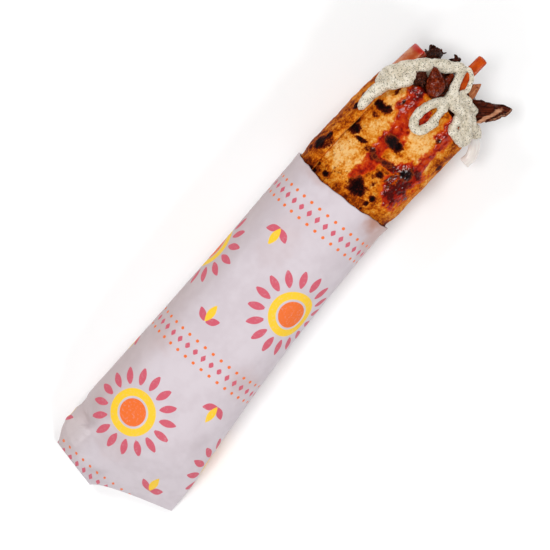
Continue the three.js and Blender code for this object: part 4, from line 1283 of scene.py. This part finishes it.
def resampled(outline, count):
    """The same closed outline with evenly spaced points."""
    ring = np.vstack([outline, outline[:1]])
    gone = np.concatenate([[0], np.cumsum(np.linalg.norm(np.diff(ring, axis=0), axis=1))])
    even = np.linspace(0, gone[-1], count, endpoint=False)
    return np.stack([np.interp(even, gone, column) for column in ring.T], -1)


def bar(outline, length, rows, rounding):
    """An outline swept along z from minus to plus half a length, drawn in towards both ends."""
    z = np.linspace(-1, 1, rows) * length / 2
    near = np.clip((length / 2 - np.abs(z)) / rounding, 0, 1)
    pull = rounding * (1 - np.sqrt(np.maximum(1 - (1 - near) ** 2, 0.0)))
    middle = outline.mean(0)
    arms = outline - middle
    reach = np.linalg.norm(arms, axis=1)
    scale = np.maximum(reach[None, :] - pull[:, None], 0.02) / reach[None, :]
    flat = middle + arms[None] * scale[..., None]
    return np.concatenate([flat, np.broadcast_to(z[:, None, None], flat.shape[:2] + (1,))], -1)


print("the x axis turned about Z by 90 degrees:", turned(np.array([1.0, 0, 0]), ("Z", 90)).round(3))

# %% [markdown]
# # Tomato
# A tomato is cut into wedges, each with two wet faces of flesh and a back of tight skin. One colour
# would look like plastic. So the mesh stores where its skin is, and the material turns from red
# skin to paler flesh with veins there. In the photo the skin's near end is a deeper red.

# %% Tomato: a wedge
TOMATO_RADIUS, TOMATO_LENGTH, TOMATO_ANGLE = 10, 15.6, 58
sector_angle = np.radians(np.linspace(0, TOMATO_ANGLE, 30))
arc = TOMATO_RADIUS * np.stack([np.cos(sector_angle), np.sin(sector_angle)], -1)
sector = resampled(rounded_outline(np.vstack([[0, 0], arc]), 0.8), 96)
wedge = bar(sector, TOMATO_LENGTH, 60, 1.0)
skin = smooth(np.hypot(wedge[..., 0], wedge[..., 1]), 9.3, 9.7)
wedge = wedge * (1 + 0.02 * noise(wedge, 4, 101))[..., None]
pits = 0.35 * (1 - skin) * np.maximum(rough(wedge, 2.6, 103), -0.4)
wedge = wedge - pits[..., None] * np.array([0.7, 0.7, 0])
wedge_uv = np.stack([wedge[..., 2], np.hypot(wedge[..., 0], wedge[..., 1])], -1)
near_edge = smooth(wedge[..., 2] + 0.8 * noise(wedge, 2.4, 105), 4.2, 6.8)
placed = turned(wedge.reshape(-1, 3), ("Z", 24), ("X", 90), ("Z", 90), ("X", -14), ("Z", -8))
placed = placed.reshape(wedge.shape) + np.array([242.4, 8.8, 28.5])
print("tomato wedge:", round(TOMATO_RADIUS * np.radians(TOMATO_ANGLE), 1), "mm of skin across it")


# %% Tomato: material
def tomato_material():
    """A taut, shiny skin over wetter, paler flesh with pale veins."""
    look = Look("tomato")
    skin_part = look.value("skin")
    flesh = look.mix(look.group(MOTTLE, Size_mm=2.4), srgb(190, 56, 34), srgb(216, 110, 80))
    veins = look.ramp(look.group(FIBRES, Width_mm=0.9, Length_mm=4.0), 0.55, 0.9)
    flesh = look.mix(look.math("MULTIPLY", veins, 0.7), flesh, srgb(240, 208, 186))
    peel = look.mix(look.ramp(look.noise(5.0, 2.0), 0.35, 0.65), srgb(176, 76, 34), srgb(196, 116, 70))
    peel = look.mix(look.ramp(look.value("near_edge"), 0.0, 1.0), peel, srgb(178, 34, 14))
    tone = look.mix(skin_part, flesh, peel)
    roughness = look.ramp(skin_part, 0.0, 1.0, 0.3, 0.22)
    normal = look.bump(look.noise(0.9, 3.0), 0.2, 0.35)
    return look.set(Base_Color=tone, Roughness=roughness, Normal=normal, Specular_IOR_Level=0.3)


tomato_values = {"skin": skin, "near_edge": near_edge}
add_swept("tomato_wedge_cut", placed, tomato_material(), "tomato_wedge", wedge_uv, tomato_values)

# %% [markdown]
# # Pepper
# Pepper is cut into crisp sticks with a nearly rectangular section. A box with rounded edges would
# do from afar, but its ends and sides would be too true. So a rounded rectangle is swept from one
# end to the other, narrowed towards the far end, and every face is made to wave a little.


# %% Sticks: pepper and a narrow strip of meat
def stick(start, end, width, thickness, taper, seed, wobble=0.12, power=3.4, round_end=0.9):
    """The grid and UV of a bar between two points. Taper is its far width as a share of its near width."""
    start, end = np.array(start, float), np.array(end, float)
    t = np.linspace(0, 1, 60)
    path = start + (end - start) * t[:, None]
    narrow = 1 + (taper - 1) * smooth(t, 0.3, 1)
    ends = rounded_ends(path, round_end)
    ends = 0.35 + 0.65 * ends if power > 3 else ends
    half_wide, half_thick = width / 2 * narrow * ends, thickness / 2 * np.minimum(1, narrow + 0.25) * ends
    grid = sweep(path, half_wide, half_thick, sides=40, power=power)
    grid = grid + wobble * rough(grid, 2.2, seed, 2)[..., None] * np.array([0.3, 0.7, 0.9])
    along_it = np.broadcast_to((t * np.linalg.norm(end - start))[:, None], grid.shape[:2])
    return grid, np.stack([along_it, (grid - path[:, None])[..., 1]], -1)


long_stick, long_uv = stick([243, -8.4, 31], [265.2, -10.4, 31.4], 5.4, 4.4, 0.9, seed=111)
short_stick, short_uv = stick([246, -11.4, 36.2], [256.6, -8.8, 34.6], 4.4, 2.6, 0.8, seed=113)
print("pepper stick:", round(float(long_uv[..., 0].max()), 1), "mm long")


# %% Pepper material
def pepper_material():
    """Crisp pepper: smooth and wet, mottled orange with lighter streaks along it."""
    look = Look("pepper")
    tone = look.mix(look.group(MOTTLE, Size_mm=3.5), srgb(190, 72, 4), srgb(164, 50, 3))
    streaks = look.group(FIBRES, Width_mm=0.8, Length_mm=7.0)
    tone = look.mix(look.ramp(streaks, 0.5, 1.0, 0.0, 0.4), tone, srgb(206, 92, 24))
    normal = look.bump(streaks, 0.12, 0.4, look.bump(look.noise(0.8, 3.0), 0.12, 0.3))
    return look.set(Base_Color=tone, Roughness=0.26, Normal=normal, Specular_IOR_Level=0.22)


pepper_look = pepper_material()
add_swept("pepper_stick_cut", long_stick, pepper_look, "pepper_stick", long_uv)
add_swept("pepper_slice_cut", short_stick, pepper_look, "pepper_slice", short_uv)

# %% [markdown]
# # Onion
# A slice of raw onion hangs over the right side of the bread's rim. It is thin, juicy and pale, and
# the light goes partly through it. It could be one layer cut from a ball, but a flat band swept
# along a bent line gives the same slice. Its veins run along the band by its UV map.

# %% Onion: a bent band
ONION_WIDTH, ONION_THICKNESS, ONION_SIDES = 5.2, 1.7, 48
onion_line = curve([(224, -33.6, 21.2), (228, -34.1, 22.6), (232.4, -32.6, 24.6), (235.2, -29.6, 27.2),
                    (236.4, -24.4, 29.6)], per_mm=4)
onion_ends = rounded_ends(onion_line, 0.7)
onion_wide, onion_thick = ONION_WIDTH / 2 * (0.6 + 0.4 * onion_ends), ONION_THICKNESS / 2 * onion_ends
onion_grid = sweep(onion_line, onion_wide, onion_thick, sides=ONION_SIDES, power=3.0)
onion_grid = onion_grid + 0.1 * rough(onion_grid, 2.0, 121, 2)[..., None]
along_mm, round_mm = np.linspace(0, 18, len(onion_line))[:, None], np.linspace(0, 7, ONION_SIDES)[None]
onion_uv = np.stack(np.broadcast_arrays(along_mm, round_mm), -1)
print("onion slice:", onion_grid.shape)

# %% Onion: material
ONION_DEPTH = (0.006, 0.005, 0.0045)


def onion_material():
    """Raw onion: juicy, nearly white and translucent, with faint veins along it."""
    look = Look("onion")
    veins = look.group(FIBRES, Width_mm=0.45, Length_mm=9.0)
    tone = look.mix(veins, srgb(240, 234, 226), srgb(222, 210, 206))
    normal = look.bump(veins, 0.12, 0.4)
    return look.set(Base_Color=tone, Roughness=0.25, Normal=normal, Subsurface_Weight=0.5,
                    Subsurface_Radius=ONION_DEPTH, Subsurface_Scale=1.0, Transmission_Weight=0.12)


add_swept("onion_slice_cut", onion_grid, onion_material(), "onion_slice", onion_uv)

# %% [markdown]
# # Torn pieces of meat
# Some pieces stand clear of the mound: a glossy chunk, and smaller crisp bits torn at their edges.
# Sculpting each by hand would take long and could not be repeated. So the round ones are balls
# pushed in and out by noise, and the torn ones have thin ribbons, bent at random, standing out all
# round them. The sliver and the curl are narrow, so they are swept along a line.


# %% Torn pieces: shapes
def chunk(centre, radii, turn, seed, jag, point=0.0):
    """A ball of noise: an ellipsoid whose radius varies, drawn to a point at its far end if asked."""
    polar = np.linspace(0.02, np.pi - 0.02, 72)[:, None]
    round_it = np.linspace(0, 2 * np.pi, 96, endpoint=False)[None]
    ball = np.stack(np.broadcast_arrays(np.cos(polar), np.sin(polar) * np.cos(round_it),
                                        np.sin(polar) * np.sin(round_it)), -1)
    size = 1 + jag * rough(ball, 0.9, seed, 4) + 0.6 * jag * (0.5 - np.abs(noise(ball, 0.42, seed + 9)))
    ball = ball * size[..., None]
    ball[..., 1:] *= (1 - point * smooth(ball[..., :1], -0.2, 1.0))
    return turned(ball * np.array(radii), ("Z", turn)) + np.array(centre)


def shreds(centre, seed, count, reach, wide):
    """Short, pointed, curling ribbons that stand out all round a centre, as where meat was torn."""
    dice = np.random.default_rng(seed)
    bodies = []
    for k in range(count):
        way = dice.normal(size=3) * np.array([1, 1, 0.5])
        way /= np.linalg.norm(way)
        t = np.linspace(0, 1, 16)[:, None]
        bend = np.cross(way, dice.normal(size=3))
        path = np.array(centre) + reach * dice.uniform(0.75, 1.1) * (way * t + 0.25 * bend * t ** 2)
        taper = rounded_ends(path, 0.5) * (1 - 0.6 * t[:, 0])
        ribbon = sweep(path, wide * taper, 0.4 * wide * taper, sides=10, up=np.cross(way, bend))
        bodies.append(closed_tube(ribbon))
    return bodies


def add_torn(name, bodies, material, node):
    """One piece of dark meat made of several closed bodies."""
    add_piece(name, make_mesh(name, *joined(bodies)), material, node)


print("a shred has", shreds([0, 0, 0], seed=1, count=1, reach=4, wide=1)[0][0].shape[0], "points")

# %% Torn pieces: chunk, flake, lump and sliver
glossy = meat_material("glazed meat", (58, 8, 2), (106, 28, 6), (172, 72, 24), gloss=0.1, oily=0.5)
crisp = meat_material("crisp meat", (20, 7, 4), (60, 22, 12), (116, 58, 36), gloss=0.2, oily=0.2)
glazed = chunk([243.2, -0.8, 43.4], [6.6, 4.0, 2.6], turn=42, seed=131, jag=0.13, point=0.35)
add_swept("meat_chunk_glazed", glazed, glossy, "meat_chunk")

flake_centre, lump_centre = [240.4, 5.6, 42.0], [250.8, 7.6, 30.4]
flake = closed_tube(chunk(flake_centre, [3.4, 2.3, 1.6], turn=-20, seed=133, jag=0.3))
flake_shreds = shreds(flake_centre, seed=51, count=6, reach=3.8, wide=1.3)
add_torn("meat_flake_torn", [flake, *flake_shreds], crisp, "meat_flake")
lump = closed_tube(chunk(lump_centre, [4.2, 4.1, 3.8], turn=-25, seed=135, jag=0.32))
lump_shreds = shreds(lump_centre, seed=53, count=22, reach=6.2, wide=1.3)
add_torn("meat_lump_torn", [lump, *lump_shreds], crisp, "meat_lump")

sliver, sliver_uv = stick([238.6, -4.8, 39.2], [251.4, -4.2, 36.6], 4.2, 2.4, 0.6, seed=141,
                          wobble=0.3, power=2.4, round_end=1.6)
add_swept("meat_sliver_torn", sliver, glossy, "meat_sliver", sliver_uv)

# %% Torn pieces: curl
# x, y, height and half width of points along the curl, and along the hook at its end
CURL = [
    [(249.4, 1.4, 31.4, 1.5), (253.4, 0.9, 31.6, 1.3), (256.2, -0.9, 31.4, 1.2), (258.6, -2.9, 30.4, 0.7)],
    [(256.4, -1.4, 31.0, 0.9), (257.9, -0.5, 31.6, 0.8), (258.3, 1.0, 31.8, 0.3)],
]
curl_bodies = []
for points in CURL:
    line = curve(points, per_mm=4.0)
    size = line[:, 3] * rounded_ends(line[:, :3], 0.7)
    ribbon = sweep(line[:, :3], size, 0.55 * size, sides=14)
    curl_bodies.append(closed_tube(ribbon + 0.2 * noise(ribbon, 0.9, 143)[..., None]))
add_torn("meat_curl_torn", curl_bodies, crisp, "meat_curl")

# %% [markdown]
# # Cut pieces of meat
# A pale strip lies below the ring of sauce, and a long dark slice hangs out at the right. Both were
# cut by a knife, so they have plain sides with fibres along them. Each is a flat section swept
# along a line, wide where the piece is wide. The slice's tan stripe of fat is stored in its mesh.

# %% Pale strip
# x, y, height and half width along the strip: it narrows to a skewed point
pale_line = curve([(242, -15.2, 31.8, 2.6), (247, -15.4, 31.9, 2.6), (251.6, -15.8, 31.8, 2.3),
                   (254.2, -16.2, 31.4, 1.3), (256, -16.6, 31, 0.3)], per_mm=5.0)
pale_wide = pale_line[:, 3] * rounded_ends(pale_line[:, :3], 0.6)
pale_thick = np.minimum(pale_wide, 1.4)
pale_strip = sweep(pale_line[:, :3], pale_wide, pale_thick, sides=40, power=2.8)
pale_strip = pale_strip + 0.25 * rough(pale_strip, 2.0, 151, 3)[..., None]


def pale_meat_material():
    """A paler strip of meat: pinkish brown, with fibres along it and darker seared patches."""
    look = Look("pale meat")
    fibres = look.group(FIBRES, Width_mm=0.4, Length_mm=5.0)
    tone = look.mix(fibres, srgb(156, 80, 46), srgb(196, 126, 80))
    tone = look.mix(look.ramp(look.noise(2.4, 3.0), 0.55, 0.75), tone, srgb(112, 50, 26))
    normal = look.bump(fibres, 0.2, 0.6)
    return look.set(Base_Color=tone, Roughness=0.36, Normal=normal, Specular_IOR_Level=0.15)


add_swept("meat_pale_strip", pale_strip, pale_meat_material(), "meat_pale", pale_strip[..., :2])

# %% Long slice: shape
# The slice is made lying along its own x axis, with one edge at y = low and the other at y = high.
SLICE_THICKNESS, STRIPE_SLOPE = 3.2, 0.56
u = np.linspace(-8, 20.5, 110)
flat_line = np.stack([u, 0 * u, 0 * u], -1)
low = np.interp(u, [-8, 3, 12, 20.5], [-5, -7, -5, -1]) + 0.5 * noise(flat_line, 2.2, 161)
high = np.interp(u, [-8, 2, 11, 20, 20.6], [5, 5, 3.4, 1.4, 0.2]) + 0.5 * noise(flat_line, 2.2, 162)
spine = np.stack([u, (low + high) / 2, 0 * u], -1)
ends = rounded_ends(spine, 1.4)
slab = sweep(spine, (high - low) / 2 * ends, SLICE_THICKNESS / 2 * ends, sides=80, power=3.2)
slab = slab + 0.3 * rough(slab, 2.4, 163, 3)[..., None] * np.array([0.2, 0.6, 1])
slab_uv = slab[..., :2].copy()
print("long slice:", np.ptp(slab.reshape(-1, 3), axis=0).round(1), "mm")

# %% Long slice: its stripe of fat
# The stripe runs slantwise, with a fainter one beside it and a groove between the two.
slab_x, slab_y = slab_uv[..., 0], slab_uv[..., 1]
from_line = slab_y + 6.0 - STRIPE_SLOPE * (slab_x - 5.5) + 0.8 * noise(slab, 2.6, 165)
first_band = (1 - smooth(np.abs(from_line), 0.4, 1.3)) * (1 - smooth(slab_x, 14.5, 17.5))
second_band = 0.42 * (1 - smooth(np.abs(from_line + 2.7), 0.3, 1.3)) * smooth(slab_x, 6, 9)
stripe = np.maximum(first_band, second_band)
slab[..., 2] += 0.6 * stripe - 0.5 * np.exp(-((from_line + 1.5) / 0.5) ** 2)
hanging = turned(slab.reshape(-1, 3), ("X", -18), ("Y", 9), ("Z", -52)) + np.array([243.2, -18.7, 31])
print("share of the slice that is striped:", stripe.mean().round(2))


# %% Long slice: material
def slice_material():
    """The long slice: nearly black crust, brown fibres, and a tan stripe where fat was cut through."""
    look = Look("sliced meat")
    fibres = look.group(FIBRES, Width_mm=0.5, Length_mm=7.0)
    tone = look.mix(fibres, srgb(30, 7, 3), srgb(92, 34, 18))
    tone = look.mix(look.ramp(look.noise(1.8, 3.0), 0.5, 0.7), tone, srgb(24, 9, 8))
    uneven = look.ramp(look.noise(0.9, 3.0), 0.3, 0.7, -0.3, 0.2)
    fat = look.mix(fibres, srgb(162, 98, 68), srgb(208, 156, 122))
    tone = look.mix(look.ramp(look.math("ADD", look.value("stripe"), uneven), 0.1, 0.9), tone, fat)
    normal = look.bump(fibres, 0.25, 0.6, look.bump(look.noise(1.4, 3.0), 0.5, 0.5))
    wet = look.ramp(look.noise(2.6, 2.0), 0.5, 0.66)
    return look.set(Base_Color=tone, Roughness=look.ramp(wet, 0.0, 1.0, 0.5, 0.16), Normal=normal,
                    Specular_IOR_Level=look.ramp(wet, 0.0, 1.0, 0.02, 0.2))


add_swept("meat_slice_long", hanging.reshape(slab.shape), slice_material(), "meat_strip",
          slab_uv, {"stripe": stripe})

# %% [markdown]
# # Floor and light
# The photograph shows the food on plain white, in even light with small bright sparkles. A picture
# of a sky would light it too, but single lamps can be placed one by one. A pale floor and a dim white
# sky give the even light. Four small lamps stand round the wrap, and what is wet mirrors them as
# sparkles. A fifth lamp above fills the shadows. It isn't mirrored, so dark meat stays dark.

# %% Floor
FLOOR_REACH, FLOOR_DEPTH = 3000, 5.0


def level_square(height):
    """The four corners of a large level square at a height, as a grid."""
    sides = [-FLOOR_REACH, FLOOR_REACH]
    return np.stack(np.meshgrid(sides, sides, [height], indexing="ij"), -1)[:, :, 0]


floor_mesh = make_mesh("floor", *closed_sheet(level_square(0.0), level_square(-FLOOR_DEPTH)))
floor = bpy.data.objects.new("floor", floor_mesh)
bpy.context.scene.collection.objects.link(floor)
floor_look = Look("floor")
floor_tone = floor_look.mix(floor_look.noise(300, 2), srgb(250, 250, 250), srgb(254, 254, 254))
floor.data.materials.append(floor_look.set(Base_Color=floor_tone, Roughness=0.9, Specular_IOR_Level=0.1))
print("floor:", 2 * FLOOR_REACH * MM, "m wide")


# %% Lamps and sky
SKY_STRENGTH = 0.22


def lamp(name, place, size, power, mirrored=True):
    """A square lamp that faces the wrap; a fill lamp isn't mirrored in what is glossy."""
    light = bpy.data.objects.new(name, bpy.data.lights.new(name, "AREA"))
    light.data.size, light.data.energy = size, power
    light.location, light.visible_glossy = place, mirrored
    light.rotation_euler = (-Vector(place)).to_track_quat("-Z", "Y").to_euler()
    bpy.context.scene.collection.objects.link(light)


lamp("far lamp", (0.3, 1.2, 1.15), 0.4, 7)
lamp("near lamp", (-0.1, -1.2, 1.15), 0.4, 8.5)
lamp("mouth lamp", (1.25, -0.1, 1.1), 0.4, 5.5)
lamp("end lamp", (-1.25, 0.1, 1.15), 0.4, 7.5)
lamp("top lamp", (-0.1, 0.25, 1.75), 0.5, 9, mirrored=False)
world = bpy.data.worlds.new("sky")
world.use_nodes = True
background = world.node_tree.nodes["Background"]
background.inputs["Color"].default_value = (1, 1, 1, 1)
background.inputs["Strength"].default_value = SKY_STRENGTH
bpy.context.scene.world = world
bpy.context.scene.view_settings.view_transform = "Standard"
